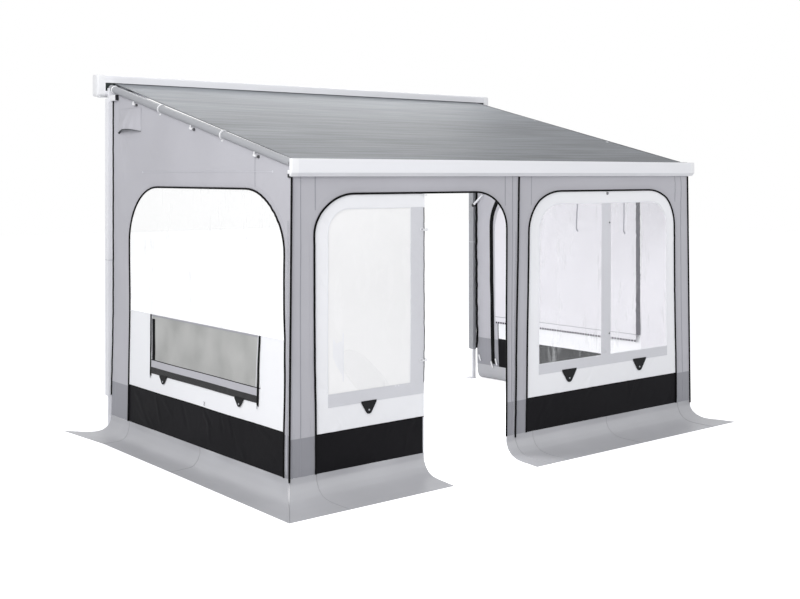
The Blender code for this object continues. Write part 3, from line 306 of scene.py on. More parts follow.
# Stage and lamps: a lamp's place, the point it looks at, its size and its power
FLOOR_SIZE = 60
FLOOR_DROP = 0.0005
FLOOR_COLOUR = (0.9, 0.9, 0.91, 1)
WHITE = (1, 1, 1, 1)
WORLD_COLOUR = (0.96, 0.98, 1.0, 1)
WORLD_STRENGTH = 0.5
LAMPS = (
    ("key", (-7.2, -3.8, 5.2), (0, 0, 1.2), (4, 3), 360),
    ("fill", (4.0, -6.5, 4.0), (0, 0, 1.0), (4, 4), 105),
    ("top", (0, 0.5, 8.0), (0, 0, 2.0), (6, 5), 70),
    ("rear", (1.4, 3.6, 4.3), (0.7, 0.9, 2.4), (5.0, 1.2), 68),
    ("room", (-1.2, 0.1, 1.2), (1.5, 0.1, 1.1), (1.4, 1.4), 60),
)

NAMES = {-1: "left", 1: "right"}


# Frame

left_low, left_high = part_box("side_wall_left")
front_low, front_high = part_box("front_wall_left")
right_front_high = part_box("front_wall_right")[1]
right_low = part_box("side_wall_right")[0]
LEFT, FRONT, REAR = left_low.x, front_low.y, left_high.y
RIGHT, HEM, HEAD = right_front_high.x, front_low.z, front_high.z
WIDTH, DEPTH = RIGHT - LEFT, REAR - FRONT
TOE = math.asin((RIGHT - CAD_CLOTH - right_low.x) / DEPTH)
SEAM = front_high.x - LEFT


class Wall:
    """A wall with its own measure along, up and out, and the small lean that its cloth has."""

    def __init__(self, corner, along, outward, lean=None):
        self.corner = Vector((*corner, 0))
        self.along = Vector((*along, 0))
        self.outward = Vector((*outward, 0))
        self.flipped = self.along.cross(Vector((0, 0, 1))).dot(self.outward) < 0
        self.lean = lean

    def point(self, along, up, out=0.0):
        return Vector(self.points([along], [up], [out])[0])

    def points(self, along, up, out):
        """Places in the room for arrays of distances."""
        along, up, out = (np.asarray(values, float) for values in (along, up, out))
        if self.lean is not None:
            shift, flare = self.lean(along, up)
            along, out = along + shift, out + flare
        base = np.array(self.corner)[None, :] + np.outer(along, np.array(self.along))
        base[:, 2] += up
        return base + np.outer(out, np.array(self.outward))

    def cut(self, loop):
        """The loop as the cloth on the wall is cut: shifted by the lean."""
        along, up = np.array(loop, float).T
        shift = self.lean(along, up)[0] if self.lean is not None else 0.0
        return list(zip((along + shift).tolist(), up.tolist()))


def front_lean(along, up):
    """The front's edges stray a little to the left or right on their way down."""
    down = np.clip((HEAD - up) / (HEAD - HEM), 0, 1)
    high = np.interp(along, LEAN_PLACES, LEAN_HIGH)
    low = np.interp(along, LEAN_PLACES, LEAN_LOW)
    return high + (low - high) * down, np.zeros_like(along)


def side_lean(along, up):
    """The side walls flare outward under their windows, and their edges stray a little to the front."""
    down = np.clip((HEAD - up) / (HEAD - HEM), 0, 1)
    flare = np.clip((SIDE_SILL - up) / (SIDE_SILL - HEM), 0, 1)
    return np.interp(along, SIDE_LEAN_PLACES, SIDE_LEAN_LOW) * down, SIDE_FLARE * flare


FRONT_WALL = Wall((LEFT, FRONT), (1, 0), (0, -1), front_lean)
LEFT_WALL = Wall((LEFT, FRONT), (0, 1), (-1, 0), side_lean)
RIGHT_WALL = Wall((RIGHT, FRONT), (-math.sin(TOE), math.cos(TOE)), (math.cos(TOE), math.sin(TOE)),
                  side_lean)
SIDE_WALLS = {-1: LEFT_WALL, 1: RIGHT_WALL}
STRAIGHT_WALLS = {side: Wall(wall.corner.xy, wall.along.xy, wall.outward.xy)
                  for side, wall in SIDE_WALLS.items()}


def span(node, wall):
    """A node's reach along a wall and in height: first, last, lowest and highest."""
    low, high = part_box(node)
    if wall is FRONT_WALL:
        return low.x - LEFT, high.x - LEFT, low.z, high.z
    if wall is LEFT_WALL:
        return low.y - FRONT, high.y - FRONT, low.z, high.z
    return (low.y - FRONT) / math.cos(TOE), (high.y - FRONT) / math.cos(TOE), low.z, high.z


# Materials

def linear(value):
    return value / 12.92 if value <= 0.04045 else ((value + 0.055) / 1.055) ** 2.4


def tone(code):
    """A colour written as six hexadecimal digits, as the renderer wants it."""
    return tuple(linear(int(code[place:place + 2], 16) / 255) for place in (0, 2, 4)) + (1.0,)


class Shader:
    """A material being built: short calls to add nodes and join them."""

    def __init__(self, name):
        self.material = bpy.data.materials.new(name)
        self.material.use_nodes = True
        self.tree = self.material.node_tree
        self.base = self.tree.nodes["Principled BSDF"]
        self.coordinates = self.node("ShaderNodeTexCoord").outputs["Object"]

    def node(self, kind, **values):
        item = self.tree.nodes.new(kind)
        for name, value in values.items():
            setattr(item, name, value)
        return item

    def link(self, start, end):
        self.tree.links.new(start, end)

    def set(self, **values):
        for name, value in values.items():
            self.base.inputs[name.replace("_", " ").title().replace("Ior", "IOR")].default_value = value

    def scaled(self, scale, turn=(0, 0, 0)):
        mapping = self.node("ShaderNodeMapping")
        mapping.inputs["Scale"].default_value = scale
        mapping.inputs["Rotation"].default_value = turn
        self.link(self.coordinates, mapping.inputs["Vector"])
        return mapping.outputs["Vector"]

    def noise(self, scale, stretch=(1, 1, 1), detail=3.0, distortion=0.0):
        item = self.node("ShaderNodeTexNoise")
        item.inputs["Scale"].default_value = scale
        item.inputs["Detail"].default_value = detail
        item.inputs["Distortion"].default_value = distortion
        self.link(self.scaled(stretch), item.inputs["Vector"])
        return item.outputs["Fac"]

    def rise(self, start, end):
        """Share of the way from one place to another along Y."""
        parts = self.node("ShaderNodeSeparateXYZ")
        self.link(self.coordinates, parts.inputs["Vector"])
        item = self.node("ShaderNodeMapRange")
        item.inputs["From Min"].default_value = start
        item.inputs["From Max"].default_value = end
        self.link(parts.outputs["Y"], item.inputs["Value"])
        return item.outputs["Result"]

    def bands(self, scale, direction):
        item = self.node("ShaderNodeTexWave", bands_direction=direction)
        item.inputs["Scale"].default_value = scale
        item.inputs["Detail"].default_value = 0.0
        self.link(self.coordinates, item.inputs["Vector"])
        return item.outputs["Fac"]

    def ramp(self, factor, dark, light, low=0.3, high=0.7):
        item = self.node("ShaderNodeValToRGB")
        item.color_ramp.elements[0].position = low
        item.color_ramp.elements[1].position = high
        item.color_ramp.elements[0].color = dark
        item.color_ramp.elements[1].color = light
        self.link(factor, item.inputs["Fac"])
        return item.outputs["Color"]

    def math(self, operation, first, second):
        item = self.node("ShaderNodeMath", operation=operation)
        for index, value in enumerate((first, second)):
            if isinstance(value, (int, float)):
                item.inputs[index].default_value = value
            else:
                self.link(value, item.inputs[index])
        return item.outputs[0]

    def bump(self, height, strength, distance, under=None):
        item = self.node("ShaderNodeBump")
        item.inputs["Strength"].default_value = strength
        item.inputs["Distance"].default_value = distance
        self.link(height, item.inputs["Height"])
        if under is not None:
            self.link(under, item.inputs["Normal"])
        return item.outputs["Normal"]

    def colour(self, socket):
        self.link(socket, self.base.inputs["Base Color"])

    def normal(self, socket):
        self.link(socket, self.base.inputs["Normal"])


def shade(code, factor):
    """A colour made darker or lighter by a factor."""
    red, green, blue, alpha = tone(code)
    return (min(red * factor, 1), min(green * factor, 1), min(blue * factor, 1), alpha)


def woven(name, code, variation=0.05, roughness=0.82, sheen=0.15, weave=260, crumple=0.25, gloss=0.3):
    """Plain woven cloth: soft patches of tone, a fine weave and small crumples."""
    shader = Shader(name)
    shader.set(roughness=roughness, sheen_weight=sheen, specular_ior_level=gloss)
    patches = shader.noise(1.4, detail=5.0)
    shader.colour(shader.ramp(patches, shade(code, 1 - variation), shade(code, 1 + variation)))
    threads = shader.math("ADD", shader.bands(weave, "DIAGONAL"), shader.bands(weave * 1.3, "Z"))
    fine = shader.bump(threads, 0.15, 0.0004)
    shader.normal(shader.bump(shader.noise(9, detail=4.0, distortion=0.6), crumple, 0.006, fine))
    return shader.material


def coated(name, code):
    """Smooth coated cloth, as skirts are made of."""
    shader = Shader(name)
    shader.set(roughness=0.42, specular_ior_level=0.5, sheen_weight=0.05)
    patches = shader.noise(2.2, detail=5.0)
    shader.colour(shader.ramp(patches, shade(code, 0.96), shade(code, 1.04)))
    grain = shader.bump(shader.noise(420, detail=2.0), 0.08, 0.0004)
    shader.normal(shader.bump(shader.noise(4.5, detail=3.0, distortion=0.4), 0.12, 0.008, grain))
    return shader.material


def painted(name, code, roughness=0.32, metallic=0.0):
    """Powder-coated or anodised metal with a faint drawn grain."""
    shader = Shader(name)
    shader.set(roughness=roughness, metallic=metallic, coat_weight=0.15, coat_roughness=0.25)
    cloud = shader.noise(3.0, stretch=(0.3, 1, 1), detail=4.0)
    shader.colour(shader.ramp(cloud, shade(code, 0.97), shade(code, 1.02)))
    peel = shader.noise(300, stretch=(0.1, 1, 1), detail=2.0)
    shader.normal(shader.bump(peel, 0.05, 0.0005))
    return shader.material


def moulded(name, code, roughness=0.45, gloss=0.5):
    """Moulded plastic with a fine grain."""
    shader = Shader(name)
    shader.set(roughness=roughness, specular_ior_level=gloss)
    shader.colour(shader.ramp(shader.noise(7, detail=3.0), shade(code, 0.95), shade(code, 1.03)))
    shader.normal(shader.bump(shader.noise(700, detail=2.0), 0.15, 0.0003))
    return shader.material


def clear(name, code, haze, roughness=0.06, body=0.0):
    """Thin clear film: mostly see-through, with a gloss that grows at a flat view, and painted highlights:
    streaks where the film turns more opaque and white, for glints on its creases.
    """
    shader = Shader(name)
    shader.set(roughness=roughness, specular_ior_level=0.6)
    shader.colour(shader.ramp(shader.noise(2.0), shade(code, 0.97), shade(code, 1.0)))
    facing = shader.node("ShaderNodeLayerWeight")
    facing.inputs["Blend"].default_value = 0.12
    # Painted highlights: thin noise streaks make the film more opaque and white, standing in for glints on
    # its creases
    creases = shader.math("ADD", shader.noise(16, stretch=(1, 1, 0.22), detail=3.0), -0.60)
    painted_glint = shader.math("MAXIMUM", creases, 0.0)
    mist_and_painted_glint = shader.math("ADD", shader.noise(1.7, detail=4.0), shader.math("MULTIPLY", painted_glint, 9.0))
    cloud = shader.math("ADD", shader.math("MULTIPLY", mist_and_painted_glint, haze), body)
    alpha = shader.math("ADD", shader.math("MULTIPLY", facing.outputs["Facing"], 0.35), cloud)
    shader.link(alpha, shader.base.inputs["Alpha"])
    shader.normal(shader.bump(shader.noise(6, detail=4.0, distortion=1.2), 0.35, 0.01))
    return shader.material


def netting(name, code):
    """Fine insect net: dark threads with the blurred grain that two layers of it show."""
    shader = Shader(name)
    shader.set(roughness=0.8, sheen_weight=0.1)
    grain = shader.node("ShaderNodeTexWave", bands_direction="Z")
    grain.inputs["Scale"].default_value = 55
    grain.inputs["Distortion"].default_value = 3
    grain.inputs["Detail"].default_value = 3
    grain.inputs["Detail Scale"].default_value = 1.2
    shader.link(shader.scaled((1, 1, 1.7), (0.35, 0.2, 0)), grain.inputs["Vector"])
    patches = shader.noise(3.2, detail=2.0)
    mixed = shader.math("ADD", shader.math("MULTIPLY", grain.outputs["Fac"], 0.45),
                        shader.math("MULTIPLY", patches, 0.7))
    shader.colour(shader.ramp(mixed, shade(code, 0.62), shade(code, 1.3), 0.3, 0.85))
    cloud = shader.math("MULTIPLY", grain.outputs["Fac"], -0.12)
    shader.link(shader.math("ADD", cloud, 0.95), shader.base.inputs["Alpha"])
    threads = shader.math("ADD", shader.bands(320, "DIAGONAL"), shader.bands(320, "Z"))
    shader.normal(shader.bump(threads, 0.15, 0.0004))
    return shader.material


def ribbed(name, code, pitch, direction="DIAGONAL"):
    """Zip tape: fine teeth across the band."""
    shader = Shader(name)
    shader.set(roughness=0.5)
    teeth = shader.bands(pitch, direction)
    shader.colour(shader.ramp(teeth, shade(code, 0.55), shade(code, 1.6), 0.35, 0.65))
    shader.normal(shader.bump(teeth, 0.8, 0.001))
    return shader.material


def streaked(name, code):
    """Roof cloth: coated weave with fine streaks along the roller, and a painted sheen: its colour grows
    lighter towards the roller.
    """
    shader = Shader(name)
    shader.set(roughness=0.55, sheen_weight=0.06, sheen_roughness=0.4, specular_ior_level=0.28)
    streaks = shader.noise(26, stretch=(0.05, 1, 1), detail=6.0)
    broad = shader.noise(2.2, stretch=(0.22, 1, 1), detail=4.0)
    mixed = shader.math("ADD", shader.math("MULTIPLY", streaks, 0.6), shader.math("MULTIPLY", broad, 0.4))
    # Painted sheen: lighter towards the rear, standing in for the brighter reflection where the cloth is
    # seen at a flatter angle
    painted_sheen = shader.math("MULTIPLY", shader.rise(*ROOF_PAINTED_SHEEN), 0.27)
    mixed = shader.math("ADD", mixed, shader.math("ADD", painted_sheen, -0.13))
    shader.colour(shader.ramp(mixed, shade(code, 0.48), shade(code, 1.30), 0.25, 0.75))
    weave = shader.bump(shader.math("ADD", shader.bands(260, "X"), shader.bands(260, "Y")), 0.1, 0.0004)
    shader.normal(shader.bump(streaks, 0.12, 0.004, weave))
    return shader.material


MATERIALS = {
    "wall": woven("wall_cloth", "b8b7bd"),
    "wall_block": woven("wall_cloth_lower", "96969c"),
    "border": woven("arch_border", "b6b5bb", crumple=0.15),
    "white": woven("white_cloth", "f1f1f4", variation=0.02, roughness=0.7, weave=300),
    "window_band": woven("window_band_cloth", "d3d3d8", variation=0.03, roughness=0.7, crumple=0.6),
    "black": woven("black_cloth", "07060b", variation=0.15, roughness=0.6, sheen=0.0, crumple=0.3,
                   gloss=0.15),
    "piping": moulded("black_piping", "050506", 0.75, 0.12),
    "seam": woven("seam_thread", "9c9ca3", weave=500, crumple=0.0),
    "light_seam": woven("light_seam_thread", "ebebef", weave=500, crumple=0.0),
    "tuck": woven("tuck_thread", "cdcdd3", weave=500, crumple=0.0),
    "skirt": coated("skirt_coating", "b4b4b8"),
    "skirt_seam": coated("skirt_seam", "9a9a9e"),
    "roof": streaked("roof_cloth", "7a7e84"),
    "roof_edge": woven("roof_hem", "75767a", variation=0.0),
    "film": clear("clear_film", "f4f5f6", 0.10),
    "milky_film": clear("door_film", "fbfafa", 0.04, 0.12, 0.95),
    "curtain": woven("inner_curtain", "dddbe0", variation=0.012, roughness=0.8, weave=300, crumple=0.3),
    "crinkled": woven("crinkled_band", "3c3744", variation=0.4, roughness=0.5, crumple=1.0),
    "net": netting("insect_net", "b5b5b3"),
    "zip": ribbed("zip_teeth", "0b0b0e", 30),
    "light_zip": ribbed("light_zip_teeth", "a6a6ac", 55, "Z"),
    "tab": moulded("dark_tab", "0e0e11", 0.6, 0.25),
    "white_metal": painted("white_coated_alloy", "e9e9ed"),
    "grey_metal": painted("grey_anodised_alloy", "c9cacf", 0.36, 0.25),
    "rafter_metal": painted("rafter_alloy", "9fa0a4", 0.6),
    # A darker copy of the poles' white metal for the right pole: painted shade, as that pole stands in
    # shadow
    "pole_metal": painted("painted_shade_alloy", "999a9e", 0.5),
    "inner_metal": painted("bare_alloy", "aeb0b4", 0.38, 0.6),
    "white_plastic": moulded("white_moulding", "ededef"),
    "grey_plastic": moulded("grey_moulding", "77787c"),
    "dark_plastic": moulded("dark_moulding", "1c1c20"),
    "dark_grey": moulded("dark_grey_moulding", "4a4a4d"),
    # Near-black for places that are only shade: painted shade in the slot's ends and under the hoods' rims
    "painted_shade": moulded("case_shade", "0c1c1b"),
    "strap": woven("grey_strap", "a4a4ab", weave=600),
}


def dress(item, finish, body=AWNING):
    """Give a new piece its material, and let it ride on a body."""
    item.data.materials.clear()
    item.data.materials.append(MATERIALS[finish])
    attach(item, body)
    return item


def link(item):
    bpy.context.scene.collection.objects.link(item)
    return item


# Outlines

def corner(middle, reach, start, steps=ARC_STEPS):
    """Points of a quarter ellipse round a middle, turning clockwise from the start angle."""
    points = []
    for step in range(steps + 1):
        turn = math.radians(start - 90 * step / steps)
        points.append((middle[0] + reach[0] * math.cos(turn), middle[1] + reach[1] * math.sin(turn)))
    return points


def arch(left, right, bottom, top, wide, tall, grow=0.0):
    """An arch with elliptical shoulders, from its bottom left round to its bottom right."""
    left, right, top = left - grow, right + grow, top + grow
    wide, tall = wide + grow, tall + grow
    points = [(left, bottom)]
    points += corner((left + wide, top - tall), (wide, tall), 180)
    points += corner((right - wide, top - tall), (wide, tall), 90)
    points.append((right, bottom))
    return points


def rectangle(left, right, bottom, top):
    return [(left, bottom), (right, bottom), (right, top), (left, top)]


def divided(points, step, closed=True):
    """The same line with a point at least every step."""
    result = []
    ends = points[1:] + points[:1] if closed else points[1:]
    for start, end in zip(points, ends):
        count = max(1, math.ceil(math.dist(start, end) / step))
        result += [(start[0] + (end[0] - start[0]) * index / count,
                    start[1] + (end[1] - start[1]) * index / count) for index in range(count)]
    if not closed:
        result.append(points[-1])
    return result


def inside(points, loop):
    """Which of the points lie in a closed loop."""
    within = np.zeros(len(points), bool)
    x, y = points[:, 0], points[:, 1]
    for (ax, ay), (bx, by) in zip(loop, loop[1:] + loop[:1]):
        if ay == by:
            continue
        crosses = ((ay > y) != (by > y)) & (x < (bx - ax) * (y - ay) / (by - ay) + ax)
        within ^= crosses
    return within


# Creases

class Ripple:
    """How far cloth stands out of its flat at each place: a slow swell and a set of creases."""

    def __init__(self, seed, swell=0.002, long=0.8):
        self.random = random.Random(seed)
        self.swell = [(self.random.uniform(0.5, 1.4) / long, self.random.uniform(0.5, 1.4) / long,
                       self.random.uniform(0, math.tau), swell * self.random.uniform(0.3, 0.6))
                      for _ in range(5)]
        self.creases = []
        self.calm = []
        self.taut = []

    def crease(self, start, end, width, height):
        self.creases.append((start, end, width, height * CREASE_GAIN))
        return self

    def scatter(self, region, count, angle, spread, length, width, height):
        """Creases of about one direction, scattered over a rectangle."""
        left, right, bottom, top = region
        for _ in range(count):
            middle = (self.random.uniform(left, right), self.random.uniform(bottom, top))
            turn = math.radians(angle + self.random.uniform(-spread, spread))
            half = length * self.random.uniform(0.4, 1.0) / 2
            reach = (half * math.cos(turn), half * math.sin(turn))
            self.crease((middle[0] - reach[0], middle[1] - reach[1]),
                        (middle[0] + reach[0], middle[1] + reach[1]),
                        width * self.random.uniform(0.6, 1.3),
                        height * self.random.uniform(0.3, 1.0) * self.random.choice((-1, 1)))
        return self

    def fan(self, hub, first, last, count, near, far, width, height):
        """Creases that run out of a pulled corner."""
        for index in range(count):
            turn = math.radians(first + (last - first) * (index + self.random.uniform(-0.3, 0.3)) / count)
            reach = far * self.random.uniform(0.6, 1.0)
            self.crease((hub[0] + near * math.cos(turn), hub[1] + near * math.sin(turn)),
                        (hub[0] + reach * math.cos(turn), hub[1] + reach * math.sin(turn)),
                        width * self.random.uniform(0.7, 1.3), height * self.random.uniform(0.5, 1.0))
        return self

    def still(self, left, right, bottom, top, fade):
        """Edges of a rectangle that stay flat, with the distance over which cloth comes to life."""
        self.calm.append((left, right, bottom, top, fade))
        return self

    def tight(self, line, fade):
        """A level line on which the cloth is pulled flat."""
        self.taut.append((line, fade))
        return self

    def lay(self, rows):
        """Creases from a table: each row says how they are laid, and then its measures."""
        for way, *measures in rows:
            getattr(self, way)(*measures)
        return self

    def __call__(self, along, up):
        along, up = np.asarray(along, float), np.asarray(up, float)
        out = np.zeros_like(along)
        for across_turns, up_turns, phase, height in self.swell:
            out += height * np.sin(math.tau * (across_turns * along + up_turns * up) + phase)
        for (ax, ay), (bx, by), width, height in self.creases:
            length = math.hypot(bx - ax, by - ay)
            dx, dy = (bx - ax) / length, (by - ay) / length
            run = (along - ax) * dx + (up - ay) * dy
            off = (along - ax) * -dy + (up - ay) * dx
            share = np.clip(run / length, 0, 1)
            taper = np.sin(math.pi * share) ** 1.2 * ((run > 0) & (run < length))
            out += height * taper * np.exp(-(off / width) ** 2)
        for left, right, bottom, top, fade in self.calm:
            edge = np.minimum(np.minimum(along - left, right - along), np.minimum(up - bottom, top - up))
            out *= np.clip(edge / fade, 0, 1)
        for line, fade in self.taut:
            out *= np.clip(np.abs(up - line) / fade, 0, 1)
        return out


class Stack:
    """Two sets of creases, one on the other."""

    def __init__(self, first, second):
        self.first, self.second = first, second

    def __call__(self, along, up):
        return self.first(along, up) + self.second(along, up)


class Flat:
    """No creases at all."""

    def __call__(self, along, up):
        return np.zeros_like(np.asarray(along, float))


# Pieces on a wall

def sheet_mesh(name, loops, step, place):
    """A mesh of small triangles that fills the first loop and leaves out the others."""
    loops = [divided(loop, step) for loop in loops]
    rim, edges = [], []
    for loop in loops:
        first = len(rim)
        rim += loop
        edges += [(first + index, first + (index + 1) % len(loop)) for index in range(len(loop))]
    rim = np.array(rim)
    low, high = rim.min(0), rim.max(0)
    rows = []
    for row, up in enumerate(np.arange(low[1] + step / 2, high[1], step * math.sqrt(0.75))):
        start = low[0] + step * (0.5 if row % 2 else 1.0)
        across = np.arange(start, high[0], step)
        rows.append(np.column_stack((across, np.full(len(across), up))))
    grid = np.vstack(rows) if rows else np.zeros((0, 2))
    keep = inside(grid, loops[0])
    for hole in loops[1:]:
        keep &= ~inside(grid, hole)
    grid = grid[keep]
    if len(grid):
        clear_of_rim = np.ones(len(grid), bool)
        for start in range(0, len(grid), RIM_BATCH):
            part = grid[start:start + RIM_BATCH]
            gap = np.sqrt(((part[:, None, :] - rim[None, :, :]) ** 2).sum(2)).min(1)
            clear_of_rim[start:start + RIM_BATCH] = gap > step * RIM_SHARE
        grid = grid[clear_of_rim]
    flat = [Vector(point) for point in rim.tolist() + grid.tolist()]
    spots, _, faces, _, _, _ = delaunay_2d_cdt(flat, edges, [], 1, 1e-6)
    spots = np.array([(spot.x, spot.y) for spot in spots])
    centres = np.array([spots[face].mean(0) for face in faces])
    keep = inside(centres, loops[0])
    for hole in loops[1:]:
        keep &= ~inside(centres, hole)
    faces = [face for face, kept in zip(faces, keep) if kept]
    return place_mesh(name, spots, faces, place)


def place_mesh(name, spots, faces, place):
    """A mesh whose points a function places, with the faces turned outward."""
    placed, flipped = place(spots[:, 0], spots[:, 1])
    if flipped:
        faces = [list(reversed(face)) for face in faces]
    mesh = bpy.data.meshes.new(name)
    mesh.from_pydata(placed.tolist(), [], faces)
    mesh.update()
    mesh.shade_smooth()
    return link(bpy.data.objects.new(name, mesh))


def thicken(item, thickness):
    """Turn an open sheet into a thin shell: two skins and a rim with sharp edges."""
    mesh = item.data
    name, count = mesh.name, len(mesh.vertices)
    places, normals = np.empty(count * 3), np.empty(count * 3)
    mesh.vertices.foreach_get("co", places)
    mesh.vertex_normals.foreach_get("vector", normals)
    places, offset = places.reshape(-1, 3), normals.reshape(-1, 3) * thickness / 2
    faces = [list(face.vertices) for face in mesh.polygons]
    sides = [(start, end) for face in faces for start, end in zip(face, face[1:] + face[:1])]
    shared = set(sides)
    rim = [[end, start, start + count, end + count] for start, end in sides if (end, start) not in shared]
    inner = [[index + count for index in reversed(face)] for face in faces]
    shell = bpy.data.meshes.new("shell")
    shell.from_pydata(np.vstack((places + offset, places - offset)).tolist(), [], faces + inner + rim)
    shell.update()
    shell.shade_smooth()
    shell.set_sharp_from_angle(angle=math.radians(SHELL_SHARP))
    item.data = shell
    bpy.data.meshes.remove(mesh)
    shell.name = name
    return item


def on_wall(wall, ripple, lift):
    def place(along, up):
        return wall.points(along, up, ripple(along, up) + lift - CAD_CLOTH / 2), wall.flipped
    return place


def cloth(name, wall, outline, finish, ripple, holes=(), step=STEP, lift=0.0, thick=CLOTH_THICK,
          body=AWNING, held="stretched", rests_on=(), replaces=()):
    """A sheet of cloth or film on a wall."""
    item = sheet_mesh(name, [outline, *holes], step, on_wall(wall, ripple, lift))
    thicken(item, thick)
    dress(item, finish, body)
    cuts = [wall.cut(divided(loop, step)) for loop in (outline, *holes)]
    if replaces:
        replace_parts(item, *replaces)
    return item


def strip(name, wall, path, width, finish, ripple, lift=TRIM_LIFT, thick=TRIM_THICK, body=AWNING,
          step=STEP, closed=False):
    """A flat band sewn along a line."""
    line = np.array(divided(path, step, closed))
    ahead = np.roll(line, -1, 0) - line
    behind = line - np.roll(line, 1, 0)
    if not closed:
        ahead[-1], behind[0] = behind[-1], ahead[0]
    ahead /= np.linalg.norm(ahead, axis=1)[:, None]
    behind /= np.linalg.norm(behind, axis=1)[:, None]
    middle = ahead + behind
    middle /= np.linalg.norm(middle, axis=1)[:, None]
    reach = width / 2 / np.maximum((middle * ahead).sum(1), 0.4)
    side = np.column_stack((-middle[:, 1], middle[:, 0])) * reach[:, None]
    spots = np.vstack((line - side, line + side))
    count = len(line)
    last = count if closed else count - 1
    faces = [[index, (index + 1) % count, count + (index + 1) % count, count + index]
             for index in range(last)]
    item = place_mesh(name, spots, faces, on_wall(wall, ripple, lift))
    thicken(item, thick)
    return dress(item, finish, body)


def tube(name, points, radius, finish, body=AWNING, sides=3, shares=None):
    """A round cord or pipe through points in the room; shares make it thicker or thinner along it."""
    curve = bpy.data.curves.new(name, "CURVE")
    curve.dimensions = "3D"
    curve.bevel_depth = radius
    curve.bevel_resolution = sides
    curve.use_fill_caps = True
    spline = curve.splines.new("POLY")
    spline.points.add(len(points) - 1)
    for target, point, share in zip(spline.points, points, shares or [1.0] * len(points)):
        target.co = (*point, 1)
        target.radius = share
    return dress(link(bpy.data.objects.new(name, curve)), finish, body)


def piping(name, wall, path, ripple, radius=PIPE_RADIUS, finish="piping", lift=PIPE_LIFT, wobble=0.0,
           seed=1):
    """A sewn-in cord along a line on a wall; wobble is how far it strays from it."""
    line = np.array(divided(path, STEP, False))
    if wobble:
        chance = random.Random(seed)
        phases = [chance.uniform(0, math.tau) for _ in WOBBLE_LENGTHS]
        run = np.concatenate(([0], np.cumsum(np.linalg.norm(np.diff(line, axis=0), axis=1))))
        shift = sum(np.sin(math.tau * run / length + phase)
                    for length, phase in zip(WOBBLE_LENGTHS, phases)) * wobble / len(WOBBLE_LENGTHS)
        line[:, 0] += shift
    out = ripple(line[:, 0], line[:, 1]) + lift
    return tube(name, wall.points(line[:, 0], line[:, 1], out).tolist(), radius, finish)


def from_work(name, work, finish, body=AWNING, matrix=None):
    """A piece out of a finished bmesh, smooth but for its real edges."""
    mesh = bpy.data.meshes.new(name)
    work.to_mesh(mesh)
    work.free()
    mesh.shade_smooth()
    mesh.set_sharp_from_angle(angle=math.radians(MOULDED_SHARP))
    if matrix is not None:
        mesh.transform(matrix)
    return dress(link(bpy.data.objects.new(name, mesh)), finish, body)


def turned(name, profile, place, axis, finish, body=AWNING, sides=20):
    """A small turned piece: radius and height pairs, standing at a place along an axis."""
    work = bmesh.new()
    rings = []
    for radius, height in profile:
        if radius == 0:
            rings.append([work.verts.new((0, 0, height))])
            continue
        rings.append([work.verts.new((radius * math.cos(math.tau * index / sides),
                                      radius * math.sin(math.tau * index / sides), height))
                      for index in range(sides)])
    for lower, upper in zip(rings, rings[1:]):
        for index in range(sides):
            after = (index + 1) % sides
            quad = [lower[index % len(lower)], lower[after % len(lower)],
                    upper[after % len(upper)], upper[index % len(upper)]]
            corners = [corner for place_in, corner in enumerate(quad) if corner not in quad[:place_in]]
            if len(corners) > 2:
                work.faces.new(corners)
    bmesh.ops.recalc_face_normals(work, faces=work.faces)
    turn = Vector(axis).to_track_quat("Z", "Y").to_matrix().to_4x4()
    return from_work(name, work, finish, body, Matrix.Translation(place) @ turn)


def block(name, low, high, round_off, finish, matrix=None):
    """A moulded block with rounded edges between two corners."""
    low, high = Vector(low), Vector(high)
    work = bmesh.new()
    bmesh.ops.create_cube(work, size=1)
    bmesh.ops.scale(work, verts=work.verts, vec=high - low)
    bmesh.ops.translate(work, verts=work.verts, vec=(low + high) / 2)
    bmesh.ops.bevel(work, geom=work.edges, offset=round_off, segments=3, profile=0.5, affect="EDGES")
    return from_work(name, work, finish, AWNING, matrix)


def wall_matrix(wall, along, up, out=0.0):
    """Local X along the wall, local Y up, local Z out of it."""
    turn = Matrix((wall.along, Vector((0, 0, 1)), wall.outward)).transposed()
    if wall.flipped:
        turn = Matrix((-wall.along, Vector((0, 0, 1)), wall.outward)).transposed()
    return Matrix.Translation(wall.point(along, up, out)) @ turn.to_4x4()


# Side walls

RAIL_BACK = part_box("lead_rail")[1].y - FRONT


def rafter_axis(side):
    """A rafter's axis: its place across, where it starts in depth and height, and its angle."""
    front_box, rear_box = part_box("rafter_front_" + NAMES[side]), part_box("rafter_rear_" + NAMES[side])
    thin = (front_box[1].x - front_box[0].x) / 2
    thick = thin + RAFTER_STEPS
    angle = RAFTER_GUESS
    for _ in range(RAFTER_TRIES):
        start = (front_box[0].y + thin * math.sin(angle), front_box[0].z + thin * math.cos(angle))
        end = (rear_box[1].y - thick * math.sin(angle), rear_box[1].z - thick * math.cos(angle))
        angle = math.atan2(end[1] - start[1], end[0] - start[0])
    return (front_box[0].x + front_box[1].x) / 2, start, angle


RAFTERS = {side: rafter_axis(side) for side in NAMES}


def rafter_place(side, along):
    """The point of a rafter's axis at a distance from the front."""
    across, (start_y, start_z), angle = RAFTERS[side]
    return Vector((across, FRONT + along, start_z + (FRONT + along - start_y) * math.tan(angle)))


def side_top(side, along):
    """Height of a side wall's upper edge: under its rafter, but beside it near the right front."""
    rise = float(np.interp(along, RIGHT_TOP_PLACES, RIGHT_TOP_RISE)) if side > 0 else -SIDE_UNDER_RAFTER
    return rafter_place(side, along).z + rise


